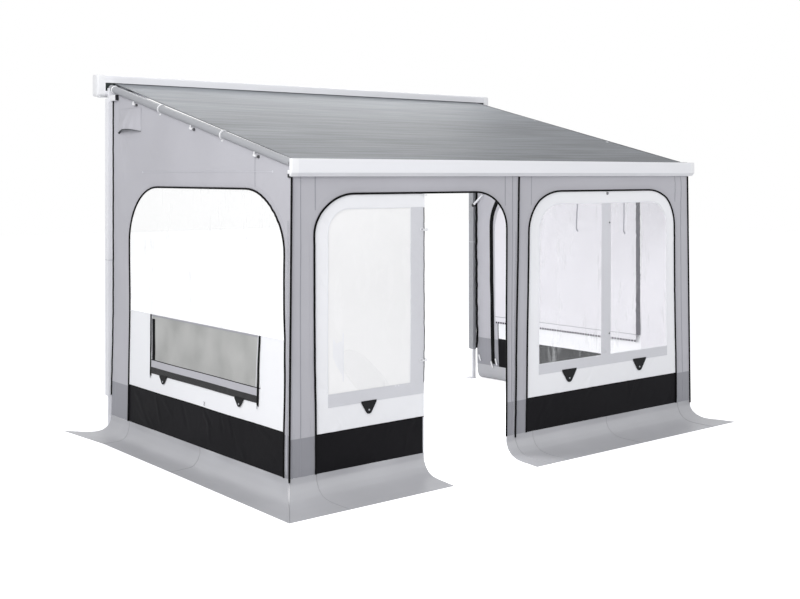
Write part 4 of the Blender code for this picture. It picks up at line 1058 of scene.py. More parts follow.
def side_ripple(side):
    seed = 11 if side < 0 else 12
    ripple = Ripple(seed, 0.003, 1.1).lay(SIDE_CREASES)
    ripple.crease(*TUCK, 0.006, 0.0012)
    ripple.still(0.0, DEPTH, HEM, ABOVE_ALL, 0.05)
    ripple.tight(SIDE_SILL, SILL_FADE)
    return ripple


def band_seam(name, wall, first, last, high, ripple):
    """The dark line along the upper edge of a dark band."""
    strip(name, wall, [(first, high), (last, high)], BAND_SEAM_WIDTH, "piping", ripple,
          thick=BAND_SEAM_THICK)


def gable_outline(side, spring, shoulder):
    """Cloth over a side window, up to the rafter and, on the right, round the rail's end."""
    outline = [(DEPTH, spring), (DEPTH, side_top(side, DEPTH))]
    if side < 0:
        outline += [(SIDE_START, side_top(side, SIDE_START))]
    else:
        start = RAIL_BACK + RAIL_GAP
        outline += [(place, side_top(side, place)) for place in reversed(RIGHT_TOP_PLACES[1:-1])]
        outline += [(start, side_top(side, start)), (start, HEAD), (SIDE_START, HEAD)]
    return outline + [(SIDE_START, spring)] + shoulder


def make_side(side):
    """A side wall: pillars, gable, film, white and dark cloth, and their piping."""
    label, wall = NAMES[side], SIDE_WALLS[side]
    ripple = side_ripple(side)
    first, last, sill, top = span("side_window_" + label, wall)
    opening = arch(first, last, HEM, top, SIDE_ARCH_WIDE, SIDE_ARCH_TALL)
    spring = top - SIDE_ARCH_TALL

    def part(name, loop, finish="wall", **more):
        more = {"rests_on": ["side_panel_" + label], **more}
        return cloth(f"{name}_{label}", wall, loop, finish, ripple, **more)

    for name, near, far in (("front", SIDE_START, first), ("rear", last, DEPTH)):
        part(name + "_pillar", rectangle(near, far, SIDE_BLOCK_TOP, spring))
        part(name + "_pillar_foot", rectangle(near, far, HEM, SIDE_BLOCK_TOP), "wall_block")
    shoulder = [point for point in opening if point[1] >= spring - SPRING_SLACK]
    part("side_gable", gable_outline(side, spring, shoulder), replaces=["side_wall_" + label])
    window = arch(first - FILM_HEM, last + FILM_HEM, sill, top + FILM_HEM, SIDE_ARCH_WIDE, SIDE_ARCH_TALL)
    on_this = {"rests_on": ["side_wall_" + label]}
    part("side_film", window, "film", lift=-0.001, thick=FILM_THICK, replaces=["side_window_" + label],
         **on_this)
    part("side_white", rectangle(first, last, SIDE_BAND_TOP, sill), "white",
         replaces=["side_panel_" + label], **on_this)
    part("side_black", rectangle(first, last, HEM, SIDE_BAND_TOP), "black", **on_this)
    piping("side_arch_piping_" + label, wall, opening, ripple)
    border = arch(first, last, SIDE_BLOCK_TOP, top, SIDE_ARCH_WIDE, SIDE_ARCH_TALL, BORDER_GROW)
    strip("side_arch_border_" + label, wall, border, BORDER_WIDTH, "border", ripple, lift=BORDER_LIFT)
    make_side_trim(side, ripple, (first, last, sill, top))


def make_side_trim(side, ripple, window):
    """Seams, tuck, zip and hems of a side wall."""
    label, wall = NAMES[side], SIDE_WALLS[side]
    first, last, sill, top = window
    seam_top = side_top(side, SIDE_SEAM) - 0.01
    strip("side_seam_" + label, wall, [(SIDE_SEAM, top + 0.012), (SIDE_SEAM, seam_top)], SEAM_WIDTH, "seam",
          ripple)
    strip("side_tuck_" + label, wall, list(TUCK), SEAM_WIDTH / 2, "tuck", ripple)
    for name, (along, up) in zip(("front", "rear"), TUCK):
        turned(f"side_tuck_{name}_end_{label}", TUCK_END, wall.point(along, up, 0.0), wall.outward, "tuck")
    strip("side_sill_" + label, wall, [(first, sill - SILL_DROP), (last, sill - SILL_DROP)], SILL_WIDTH,
          "white", ripple)
    band_seam("side_band_seam_" + label, wall, first, last, SIDE_BAND_TOP, ripple)
    strip("side_zip_" + label, wall, [(SIDE_ZIP, HEM + 0.02), (SIDE_ZIP, SIDE_ZIP_TOP)], 0.024, "light_zip",
          ripple)
    piping("rear_keder_" + label, wall, [(DEPTH - 0.004, KEDER_SPAN[0]), (DEPTH - 0.004, KEDER_SPAN[1])],
           ripple, 0.0055, wobble=0.003, seed=3 + side)
    strip("side_top_hem_" + label, wall,
          [(along, side_top(side, along) - 0.012) for along in (RAIL_BACK + 0.02, DEPTH - 0.01)],
          0.018, "border", ripple)


for SIDE in NAMES:
    make_side(SIDE)


# Front

FRONT_RIPPLE = Ripple(21, 0.0025, 1.2).lay(FRONT_CREASES).still(0.0, WIDTH, HEM, HEAD, 0.04)


def front_cloth(name, outline, finish, rests_on, **more):
    """A sheet of the front wall."""
    return cloth(name, FRONT_WALL, outline, finish, FRONT_RIPPLE, rests_on=[rests_on], **more)


def front_frame(label, outer, opening_span, top, shoulder_size, seam_edge):
    """Pillars, header, border and piping round one of the front's two arches."""
    left, right = opening_span
    first, last = outer
    wide, tall = shoulder_size
    wall, ripple = FRONT_WALL, FRONT_RIPPLE
    spring = top - tall
    opening = arch(left, right, HEM, top, wide, tall)
    for name, low, high in (("inner", first, left), ("outer", right, last)):
        front_cloth(f"front_pillar_{name}_{label}", rectangle(low, high, PILLAR_BLOCK_TOP, spring), "wall",
                    "lead_rail")
        front_cloth(f"front_foot_{name}_{label}", rectangle(low, high, HEM, PILLAR_BLOCK_TOP), "wall_block",
                    "lead_rail")
    shoulder = [point for point in opening if point[1] >= spring - SPRING_SLACK]
    header = [(last, spring), (last, HEAD), (first, HEAD), (first, spring)] + shoulder
    front_cloth("front_header_" + label, header, "wall", "lead_rail", replaces=["front_wall_" + label])
    piping("front_arch_piping_" + label, wall, opening, ripple)
    border = arch(left, right, PILLAR_BLOCK_TOP, top, wide, tall, BORDER_GROW)
    strip("front_arch_border_" + label, wall, border, BORDER_WIDTH, "border", ripple, lift=BORDER_LIFT)
    for index, along in enumerate(seam_edge):
        foot = HEM if along < left - 0.03 or along > right + 0.03 else top - 0.1
        strip(f"front_seam_{label}_{index}", wall, [(along, foot), (along, HEAD)], SEAM_WIDTH, "seam",
              ripple)


def make_front():
    wall, ripple = FRONT_WALL, FRONT_RIPPLE
    door_left, door_fold, _, arch_top = span("door_panel", wall)
    leaf_first, leaf_last, _, _ = span("door_leaf", wall)
    door_right = door_fold + (leaf_last - leaf_first)
    bay_left, bay_right, _, _ = span("front_panel", wall)
    front_frame("left", (0.0, SEAM), (door_left, door_right + 0.002), arch_top,
                (FRONT_ARCH_WIDE, FRONT_ARCH_TALL), LEFT_PILLAR_SEAMS)
    front_frame("right", (SEAM, WIDTH), (bay_left, bay_right), arch_top,
                (BAY_ARCH_WIDE, BAY_ARCH_TALL), RIGHT_PILLAR_SEAMS)
    make_door_left(door_left, door_fold, arch_top)
    make_bay(bay_left, bay_right, arch_top)
    for name, line, lean in (("corner_left", 0.0, 0.0), ("seam", SEAM + 0.003, -0.018),
                             ("corner_right", WIDTH, 0.0)):
        piping("front_piping_" + name, wall, [(line + lean, HEM - 0.02), (line, HEAD - 0.004)], ripple,
               lift=0.003)
    strip("front_pillar_zip", wall, [(SEAM - 0.03, HEM), (SEAM - 0.02, 1.6)], 0.010, "light_zip", ripple)


def tab(name, wall, along, up, size, ripple, body=AWNING, lift=0.0):
    """A dark rounded tab that hangs from a seam, with a metal stud."""
    width, height = size
    half, tip = width / 2, TAB_TIP_SHARE * width
    edge = [(half, 0), (half * 0.98, TAB_SHOULDER), (tip, height * 0.86), (tip * 0.6, height * 0.97)]
    outline = [(along - across, up - down) for across, down in edge] + [(along, up - height)]
    outline += [(along + across, up - down) for across, down in reversed(edge)]
    item = sheet_mesh(name, [outline], FINE_STEP, on_wall(wall, ripple, lift + 0.0045))
    thicken(item, TAB_THICK)
    dress(item, "tab", body)
    low = up - height * TAB_STUD_SHARE
    out = float(ripple(along, low)) + lift + 0.004
    turned(name + "_stud", TAB_STUD, wall.point(along, low, out), wall.outward, "inner_metal", body)


def window_outline(left, right, bottom, top, rounds, bend=WINDOW_ROUND):
    """A window's outline, with those of its upper corners rounded that rounds names."""
    points = [(right, bottom), (left, bottom)]
    for side, edge, start in ((-1, left, 180), (1, right, 90)):
        if side in rounds:
            points += corner((edge - side * bend, top - bend), (bend, bend), start)
        else:
            points.append((edge, top))
    return points


def grown(window, reach):
    """A window's left, right, lower and upper edge, moved outward."""
    left, right, bottom, top = window
    return left - reach, right + reach, bottom - reach, top + reach


def door_half(first, fold, top):
    """Outline of half a door over its dark band, with one shoulder."""
    reach = (FRONT_ARCH_WIDE, FRONT_ARCH_TALL)
    shoulder = corner((first + FRONT_ARCH_WIDE, top - FRONT_ARCH_TALL), reach, 180)
    return [(fold, FRONT_BAND_TOP), (fold, top), *reversed(shoulder), (first, FRONT_BAND_TOP)]


def make_door_left(left, fold, top):
    """The closed half of the door: white cloth round a film window."""
    wall, ripple, under = FRONT_WALL, FRONT_RIPPLE, "front_wall_left"
    edges = span("door_window", wall)
    window = window_outline(*edges, (-1,), DOOR_WINDOW_ROUND)
    front_cloth("door_white", door_half(left, fold, top), "white", under, holes=[window], step=FINE_STEP,
                replaces=["door_panel"])
    front_cloth("door_black", rectangle(left, fold, HEM, FRONT_BAND_TOP), "black", under)
    film = window_outline(*grown(edges, FRONT_FILM_HEM), (-1,), DOOR_WINDOW_ROUND)
    front_cloth("door_film", film, "milky_film", under, lift=FRONT_FILM_LIFT, thick=FILM_THICK,
                replaces=["door_window"])
    strip("door_window_rim", wall, window, 0.006, "light_seam", ripple, closed=True)
    low, high = DOOR_LOW_BAND
    front_cloth("door_side_band", rectangle(edges[1], fold, low, DOOR_BAND_TOP), "window_band", under,
                lift=TRIM_LIFT)
    front_cloth("door_low_band", rectangle(*edges[:2], low, high), "window_band", under, lift=TRIM_LIFT)
    piping("door_edge_cord", wall, [(fold - 0.002, 0.62), (fold - 0.004, 1.79)], ripple, 0.0028, "tab",
           wobble=0.002)
    band_seam("door_band_seam", wall, left, fold, FRONT_BAND_TOP, ripple)
    strip("door_edge", wall, [(fold - 0.004, HEM), (fold - 0.004, top)], 0.008, "light_seam", ripple)
    tab("door_tab", wall, *DOOR_TAB, DOOR_TAB_SIZE, ripple)
    for index, (along, up) in enumerate(DOOR_TOGGLES):
        toggle(f"door_toggle_{index}", wall, along, up, ripple, 1.0)
    toggle("door_top_toggle", wall, fold - 0.01, TOP_TOGGLE_HIGH, ripple, 0.6)


def toggle(name, wall, along, up, ripple, size):
    """A white toggle through a loop that holds the folded leaf."""
    out = float(ripple(along, up)) + 0.004
    loop = []
    for step in range(TOGGLE_STEPS + 1):
        turn = math.tau * step / TOGGLE_STEPS
        loop.append(tuple(wall.point(along - 0.012 * size + 0.016 * size * math.cos(turn),
                                     up + 0.010 * size * math.sin(turn), out + 0.003)))
    tube(name + "_loop", loop, 0.0022 * size, "white_plastic")
    bar = [tuple(wall.point(along + offset * size, up - 0.004 * size, out + 0.006)) for offset in TOGGLE_BAR]
    tube(name + "_bar", bar, 0.0055 * size, "white_plastic")
    turned(name + "_knob", [(radius * size, height) for radius, height in TOGGLE_KNOB],
           wall.point(along + 0.026 * size, up + 0.004 * size, out), wall.outward, "white_plastic")


def bay_film_ripple(edges):
    """Creases of the wide window's film: long swells, and short ones at its upper corners."""
    left, right, _, top = edges
    ripple = Ripple(31, 0.004, 0.9)
    ripple.fan((left + 0.02, top - 0.02), -75, -8, 9, 0.05, 0.5, 0.014, 0.0027)
    ripple.fan((right - 0.02, top - 0.02), 185, 262, 12, 0.05, 0.45, 0.012, 0.0027)
    ripple.scatter((left, right, 0.8, 1.6), 10, 45, 12, 1.2, 0.05, 0.0022)
    ripple.scatter((left, right, 1.4, 1.78), 20, 60, 50, 0.16, 0.012, 0.0017)
    return ripple.still(*grown(edges, FRONT_FILM_HEM), 0.03)


def make_bay(left, right, top):
    """The right bay: white cloth round a wide film window with a middle strip."""
    wall, ripple, under = FRONT_WALL, FRONT_RIPPLE, "front_wall_right"
    edges = span("front_window", wall)
    window_left, window_right, _, window_top = edges
    upper = arch(left, right, FRONT_BAND_TOP, top, BAY_ARCH_WIDE, BAY_ARCH_TALL)
    window = window_outline(*edges, (-1, 1))
    front_cloth("bay_white", upper, "white", under, holes=[window], step=FINE_STEP, replaces=["front_panel"])
    front_cloth("bay_black", rectangle(left, right, HEM, FRONT_BAND_TOP), "black", under)
    film_ripple = bay_film_ripple(edges)
    film = window_outline(*grown(edges, FRONT_FILM_HEM), (-1, 1))
    cloth("bay_film", wall, film, "film", film_ripple, lift=FRONT_FILM_LIFT, thick=FILM_THICK,
          step=FINE_STEP, rests_on=[under], replaces=["front_window"])
    strip("bay_window_rim", wall, window, 0.008, "light_seam", ripple, closed=True)
    low, high = BAY_LOW_BAND
    front_cloth("bay_low_band", rectangle(window_left, window_right, low, high), "window_band", under,
                lift=TRIM_LIFT)
    front_cloth("bay_middle_strip", rectangle(*BAY_MIDDLE, high, BAY_MIDDLE_TOP), "window_band", under,
                lift=TRIM_LIFT)
    for index, up in enumerate(BAY_STUDS):
        out = float(ripple(BAY_STUD_ALONG, up)) + 0.002
        turned(f"bay_strip_stud_{index}", FLAT_STUD, wall.point(BAY_STUD_ALONG, up, out), wall.outward,
               "tab")
    band_seam("bay_band_seam", wall, left, right, FRONT_BAND_TOP, ripple)
    for index, along in enumerate(BAY_TABS):
        tab(f"bay_tab_{index}", wall, along, BAY_TAB_HIGH, BAY_TAB_SIZE, ripple)
    for index, (along, foot) in enumerate(BAY_STRAPS):
        hang = [(along, window_top - 0.004), (along - 0.003, (foot + window_top) / 2),
                (along - 0.008, foot + 0.02), (along + 0.008, foot)]
        strip(f"bay_strap_{index}", wall, hang, 0.012, "strap", film_ripple, lift=0.003, step=FINE_STEP)
    turned("bay_top_clip", TOP_CLIP, wall.point((window_left + window_right) / 2 + 0.01, top - 0.022, 0.001),
           wall.outward, "grey_plastic")


make_front()


# Folded door leaf

def make_leaf():
    """The open half of the door, folded back behind the closed one."""
    first, last, low, top = span("door_leaf", FRONT_WALL)
    box_low, box_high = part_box("door_leaf")
    wall = Wall((LEFT, (box_low.y + box_high.y) / 2 - CAD_CLOTH / 2), (1, 0), (0, -1))
    ripple = Ripple(41, 0.0006, 0.7).still(first, last, low, top, 0.05)
    first, top = first + LEAF_EDGE, top - LEAF_EDGE / 2
    window = window_outline(*span("door_leaf_window", FRONT_WALL), (-1,))

    def part(name, outline, finish, **more):
        cloth(name, wall, outline, finish, ripple, body="door_leaf", held="folded", rests_on=["door_white"],
              **more)

    part("leaf_white", door_half(first, last, top), "white", holes=[window], replaces=["door_leaf"])
    part("leaf_black", rectangle(first, last, HEM, FRONT_BAND_TOP), "black")
    part("leaf_film", window, "film", thick=FILM_THICK, replaces=["door_leaf_window"])
    strip("leaf_window_rim", wall, window, 0.008, "light_seam", ripple, lift=0.0, thick=0.002, closed=True,
          body="door_leaf")


make_leaf()


# Mesh flaps

def pull(name, wall, along, up, out, shape, radius, finish, body=AWNING):
    """A small pull: a cord bent through a list of offsets."""
    tube(name, [tuple(wall.point(along + dx, up + dz, out)) for dx, dz in shape], radius, finish, body)


def make_flap(side):
    """A vent flap: net, grey and zip strip, dark edges with their tapes, pulls and tabs."""
    label, wall = NAMES[side], SIDE_WALLS[side]
    body = "mesh_flap_" + label
    first, last, low, high = span(body, wall)
    slack = Ripple(51 + side, 0.0006, 0.9)
    slack.fan((first + 0.1, high), 265, 330, 5, 0.02, 0.45, 0.02, 0.0010)
    slack.fan((last - 0.15, high), 210, 265, 5, 0.02, 0.45, 0.02, 0.0010)
    ripple = Stack(side_ripple(side), slack)
    base = 0.0024 + CAD_CLOTH / 2

    def part(name, outline, finish, rests_on, **more):
        cloth(f"flap_{name}_{label}", wall, outline, finish, ripple, body=body, held="hung",
              rests_on=[f"{rests_on}_{label}"], **more)

    def trim(name, path, width, finish, lift, **more):
        strip(f"flap_{name}_{label}", wall, path, width, finish, ripple, lift=base + lift, body=body, **more)

    net = [(first + 0.016, low + 0.095), (last, low + 0.095), (last, high), (first, high)]
    part("net", net, "net", "side_white", lift=base, thick=FILM_THICK, replaces=[body])
    part("grey", rectangle(first + 0.020, last, low + 0.045, low + 0.098), "border", "flap_net",
         lift=base + 0.0006)
    part("zip", rectangle(first + 0.022, last, low, low + 0.046), "zip", "flap_net", lift=base + 0.0008,
         thick=0.002)
    for name, along, turn, lean in (("front", first + 0.010, 1, FLAP_LEAN), ("rear", last - 0.010, -1, 0.0)):
        trim(name + "_edge", [(along + lean, low - 0.02), (along, high)], 0.020, "piping", 0.001,
             thick=0.0025)
        tape = along + turn * FLAP_TAPE_IN
        trim(name + "_tape", [(tape + lean, low + 0.1), (tape, high)], 0.008, "window_band", 0.001)
        if turn < 0:
            trim("second_edge", [(along - 0.046, low + 0.1), (along - 0.042, high - 0.03)], 0.042, "piping",
                 0.0012, thick=0.0025)
        pull(f"flap_{name}_pull_{label}", wall, along + lean, low - 0.02, 0.006, FLAP_PULL, 0.0018,
             "inner_metal", body)
    trim("top", [(first, high - 0.006), (last, high - 0.006)], 0.010, "seam", 0.001)
    trim("line", [(first, low + 0.098), (last, low + 0.098)], 0.005, "piping", 0.0016)
    for index, along in enumerate(FLAP_TABS):
        tab(f"flap_tab_{label}_{index}", wall, along, low + 0.006, FLAP_TAB_SIZE, ripple, body, base)
    for index, (along, lean) in enumerate(((first + 0.008, FLAP_LEAN), (last - 0.008, 0.0))):
        strip(f"flap_wall_tape_{label}_{index}", wall, [(along + lean, low), (along, high)], 0.010, "piping",
              Flat(), lift=0.0018)
    if side < 0:
        pull("panel_pull", wall, *PANEL_PULL_PLACE, 0.004, PANEL_PULL, 0.0022, "grey_plastic")


for SIDE in NAMES:
    make_flap(SIDE)


# Vent hoods

def grid_faces(rows, columns):
    """Quads between points that stand in rows, one row after the other."""
    wide = columns + 1
    return [[start, start + 1, start + wide + 1, start + wide]
            for row in range(rows) for start in range(row * wide, row * wide + columns)]


def plain_item(name, spots, faces):
    """A smooth open sheet out of points and faces."""
    mesh = bpy.data.meshes.new(name)
    mesh.from_pydata([tuple(spot) for spot in spots], [], faces)
    mesh.shade_smooth()
    return link(bpy.data.objects.new(name, mesh))


def hood_spots(side, folds, edges):
    """Points of a hood's cloth: flat along its top, bulging and lifted at its open foot."""
    wall = SIDE_WALLS[side]
    first, last, low, high = edges
    spots = []
    for row in range(HOOD_ROWS + 1):
        down = row / HOOD_ROWS
        for column in range(HOOD_COLUMNS + 1):
            share = column / HOOD_COLUMNS
            swell = math.sin(math.pi * share)
            out = HOOD_BASE + HOOD_BULGE * swell * math.sin(math.pi / 2 * down)
            out += sum(height * math.exp(-((share - middle - lean * down) / width) ** 2) * swell * down
                       for middle, width, height, lean in folds)
            up = low + (high - low - 0.001) * (1 - down) + HOOD_FOOT_RISE * swell * down
            spots.append(wall.point(first + (last - first) * share, up, out))
    return spots


def make_hood(side):
    """A small rain hood, sewn on along its top and sides, with slack cloth and an open foot."""
    label, wall = NAMES[side], SIDE_WALLS[side]
    first, last, low, high = edges = span("vent_hood_" + label, wall)
    chance = random.Random(61 + side)
    folds = [(chance.uniform(0.1, 0.9), chance.uniform(0.04, 0.09), chance.uniform(-0.009, 0.009),
              chance.uniform(-0.3, 0.3)) for _ in range(9)]
    spots = hood_spots(side, folds, edges)
    wide = HOOD_COLUMNS + 1
    faces = [[quad[0], quad[3], quad[2], quad[1]] for quad in grid_faces(HOOD_ROWS, HOOD_COLUMNS)]
    if wall.flipped:
        faces = [list(reversed(face)) for face in faces]
    item = thicken(plain_item("hood_cloth_" + label, spots, faces), CLOTH_THICK)
    dress(item, "wall")
    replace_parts(item, "vent_hood_" + label)
    # A net behind the hood's open foot, made near-black so that it also paints the shade inside the hood
    dark = rectangle(first + 0.03, last - 0.03, low + 0.02, low + 0.10)
    net = sheet_mesh("hood_net_and_shade_" + label, [dark], STEP, on_wall(wall, side_ripple(side), 0.0035))
    dress(thicken(net, FILM_THICK), "dark_plastic")
    rim = [tuple(spot) for spot in spots[-wide:]]
    tube("hood_rim_" + label, rim, 0.0026, "border")
    # Painted shade: a dark cord under the rim, thickest at the rear corner, for the shadow inside the hood's
    # open foot
    shares = [0.20 + 0.35 * column / HOOD_COLUMNS + max(0.0, column / HOOD_COLUMNS - 0.88) * 7
              for column in range(wide)]
    tube("hood_slit_shade_" + label, [(x, y, z - 0.006) for x, y, z in rim], 0.0065, "painted_shade", shares=shares)
    for name, along in (("front", first), ("rear", last)):
        strip(f"hood_{name}_seam_{label}", wall, [(along, low), (along, high)], 0.008, "border", Flat(),
              lift=0.003)


for SIDE in NAMES:
    make_hood(SIDE)


# Rafter fittings

def make_ring(side, name, along, radius, slope):
    """A white ring over a joint of the rafter."""
    half = RING_WIDE / 2
    profile = [(0, -half), (radius - RING_ROUND, -half), (radius, RING_ROUND - half),
               (radius, half - RING_ROUND), (radius - RING_ROUND, half), (0, half)]
    turned(name, profile, rafter_place(side, along), slope, "white_plastic", sides=32)


def make_rafter_fittings(side):
    """White rings over the rafter's joints, hooks under them and the clips that hold the wall."""
    label, wall = NAMES[side], STRAIGHT_WALLS[side]
    angle = RAFTERS[side][2]
    slope = Vector((0, math.cos(angle), math.sin(angle)))
    down = Vector((0, math.sin(angle), -math.cos(angle)))
    turn = Matrix((wall.outward, slope, -down)).transposed().to_4x4()
    for index, along in enumerate(RING_PLACES):
        make_ring(side, f"rafter_ring_{index}_{label}", along, RING_RADIUS, slope)
        foot = rafter_place(side, along) + down * RING_RADIUS
        hook = [tuple(foot + down * drop + slope * ahead) for drop, ahead in RAFTER_HOOK]
        tube(f"rafter_hook_{index}_{label}", hook, 0.0045, "white_plastic")
    make_ring(side, f"rafter_ring_{len(RING_PLACES)}_{label}", REAR_RING, REAR_RING_RADIUS, slope)
    for index, along in enumerate(CLIP_PLACES):
        place = rafter_place(side, along) + down * CLIP_DROP
        place.x = wall.point(along, place.z, 0.010).x
        matrix = Matrix.Translation(place) @ turn
        block(f"wall_clip_{index}_{label}", *CLIP_BODY, 0.004, "white_plastic", matrix=matrix)
        block(f"wall_clip_lug_{index}_{label}", *CLIP_LUG, 0.003, "white_plastic", matrix=matrix)
        knob = place - slope * KNOB_AHEAD
        knob.x = wall.point(along, place.z, 0.001).x
        turned(f"wall_clip_knob_{index}_{label}", CLIP_KNOB, knob, wall.outward, "dark_grey")


for SIDE in NAMES:
    make_rafter_fittings(SIDE)


# Caps

def cap_outline(low, high, chamfer, bend):
    """A cap's outline in Y and Z: chamfered below and rounded above in front, square behind."""
    points = [(high.y, low.z), (low.y + chamfer, low.z), (low.y, low.z + chamfer)]
    points += corner((low.y + bend, high.z - bend), (bend, bend), 180, CAP_STEPS)
    points.append((high.y, high.z))
    return points


def rounded_cap(name, node, loop, inner, outer, bend):
    """An end cap whose outer edge rolls over: its outline shrinks along a quarter circle."""
    side = 1 if outer > inner else -1
    loop = np.array(loop)
    low, high = loop.min(0), loop.max(0)
    middle, half = (low + high) / 2, (high - low) / 2
    sections = [(inner, 0.0)]
    for step in range(CAP_STEPS + 1):
        turn = math.radians(90) * step / CAP_STEPS
        sections.append((outer - side * bend * (1 - math.sin(turn)), bend * (1 - math.cos(turn))))
    work = bmesh.new()
    rings = []
    for place, inset in sections:
        ring = middle + (loop - middle) * (1 - inset / half)
        rings.append([work.verts.new((place, y, z)) for y, z in ring])
    for near, far in zip(rings, rings[1:]):
        for index in range(len(near)):
            after = (index + 1) % len(near)
            work.faces.new((near[index], near[after], far[after], far[index]))
    work.faces.new(rings[0])
    work.faces.new(list(reversed(rings[-1])))
    bmesh.ops.recalc_face_normals(work, faces=work.faces)
    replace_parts(from_work(name, work, "white_plastic"), node)


def make_caps():
    for side, label in NAMES.items():
        low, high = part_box("case_cap_" + label)
        outer = low.x if side < 0 else high.x
        loop = cap_outline(low, high, CASE_CHAMFER, CASE_ROUND)
        rounded_cap("case_end_" + label, "case_cap_" + label, loop, outer - side * CASE_CAP_WIDE, outer,
                    CASE_CAP_BEND)
        low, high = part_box("rail_cap_" + label)
        inner, outer = (high.x, low.x) if side < 0 else (low.x, high.x)
        loop = cap_outline(low, high, RAIL_CHAMFER, RAIL_ROUND)
        rounded_cap("rail_end_" + label, "rail_cap_" + label, loop, inner, outer, RAIL_CAP_BEND)


make_caps()


# Case slot and poles

def make_case_details():
    """Painted shade in the ends of the case's slot beside the cloth, and the mouldings under the case's ends
    with a strip of painted shade above each.
    """
    low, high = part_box("case_housing")
    roof_low, roof_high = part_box("roof_cloth")
    for side, label in NAMES.items():
        near, far = ((low.x + 0.0015, roof_low.x - 0.002) if side < 0
                     else (roof_high.x + 0.002, high.x - 0.0015))
        # A dark plate in the slot's end: painted shade where the opening lies in shadow
        block("slot_end_shade_" + label, (near, low.y + 0.006, low.z + SLOT_LOW_RISE),
              (far, low.y + 0.010, high.z - SLOT_TOP_DROP), 0.001, "painted_shade")
        edge = low.x if side < 0 else high.x
        near, far = sorted((edge + side * KEEL_PAST, edge - side * KEEL_INSIDE))
        block("case_keel_" + label, (near, low.y + 0.012, low.z - 0.012),
              (far, low.y + 0.055, low.z - 0.001), 0.004, "white_plastic")
        # A grey strip along the top of the moulding's front: painted shade of the gap under the case
        block("case_keel_shade_" + label, (near + 0.006, low.y + 0.0105, low.z - 0.0045),
              (far - 0.006, low.y + 0.014, low.z - 0.0015), 0.0008, "grey_plastic")


def make_pole_details(side):
    """The pole's joint, the bracket at its top and the strut that braces it inside the room."""
    label, wall = NAMES[side], STRAIGHT_WALLS[side]
    inside_room = POLE_INSIDE[side]
    middle = DEPTH + POLE_DEPTH / 2
    block("pole_joint_" + label, (-POLE_DEPTH / 2 - 0.003, -0.002, -inside_room - 0.001),
          (POLE_DEPTH / 2 + 0.003, 0.002, POLE_WIDTH - inside_room + 0.001), 0.0008, "grey_metal",
          matrix=wall_matrix(wall, middle, POLE_JOINT))
    if side < 0:
        for name, near, far, finish in POLE_CLAMPS:
            half = (far - near) / 2
            block(f"{name}_{label}", (-half, -0.022, 0.0), (half, 0.022, 0.028), 0.003, finish,
                  matrix=wall_matrix(wall, (near + far) / 2, POLE_CLAMP_HIGH))
    start = wall.point(*STRUT_FOOT, -inside_room - 0.012)
    end = wall.point(*STRUT_HEAD, -STRUT_INSIDE)
    tube("pole_strut_" + label, [tuple(start.lerp(end, share)) for share in (0, 0.25, 0.5, 0.75, 1)], 0.010,
         "white_metal", sides=5)
    turned("pole_pivot_" + label, POLE_PIVOT, start, -wall.outward, "dark_plastic")


def make_corner_hook():
    """The white hook and the dark block where the left wall's front edge meets the rail."""
    for name, low, high, finish in CORNER_HOOKS:
        block("corner_" + name, (-0.010, (low - high) / 2, 0.0), (0.010, (high - low) / 2, 0.012), 0.003,
              finish, matrix=wall_matrix(STRAIGHT_WALLS[-1], 0.018, (low + high) / 2))


make_corner_hook()
make_case_details()
for SIDE in NAMES:
    make_pole_details(SIDE)


# Inside of the right side wall

def make_inner_band():
    """Zip band, edge cord and pulls, as they show inside."""
    wall, ripple = RIGHT_WALL, side_ripple(1)
    first, last, _, top = span("side_window_right", wall)
    band = arch(first, last + INNER_REACH, HEM + 0.02, top, SIDE_ARCH_WIDE, SIDE_ARCH_TALL,
                INNER_BAND / 2 - 0.003)
    strip("inner_zip_band", wall, band, INNER_BAND, "piping", ripple, lift=-0.004, thick=0.003)
    piping("inner_edge_cord", wall, [(DEPTH - 0.012, 2.60), (DEPTH - 0.012, 0.42), (DEPTH - 0.002, 0.30)],
           ripple, 0.0095, lift=-0.012, wobble=0.006, seed=9)
    for index, (along, up) in enumerate(((last + 0.085, HEM + 0.012), (DEPTH - 0.040, HEM + 0.060),
                                         (last + 0.030, HEM + 0.045))):
        pull(f"inner_pull_{index}", wall, along, up, -0.012, INNER_PULL, 0.0075, "white_plastic")


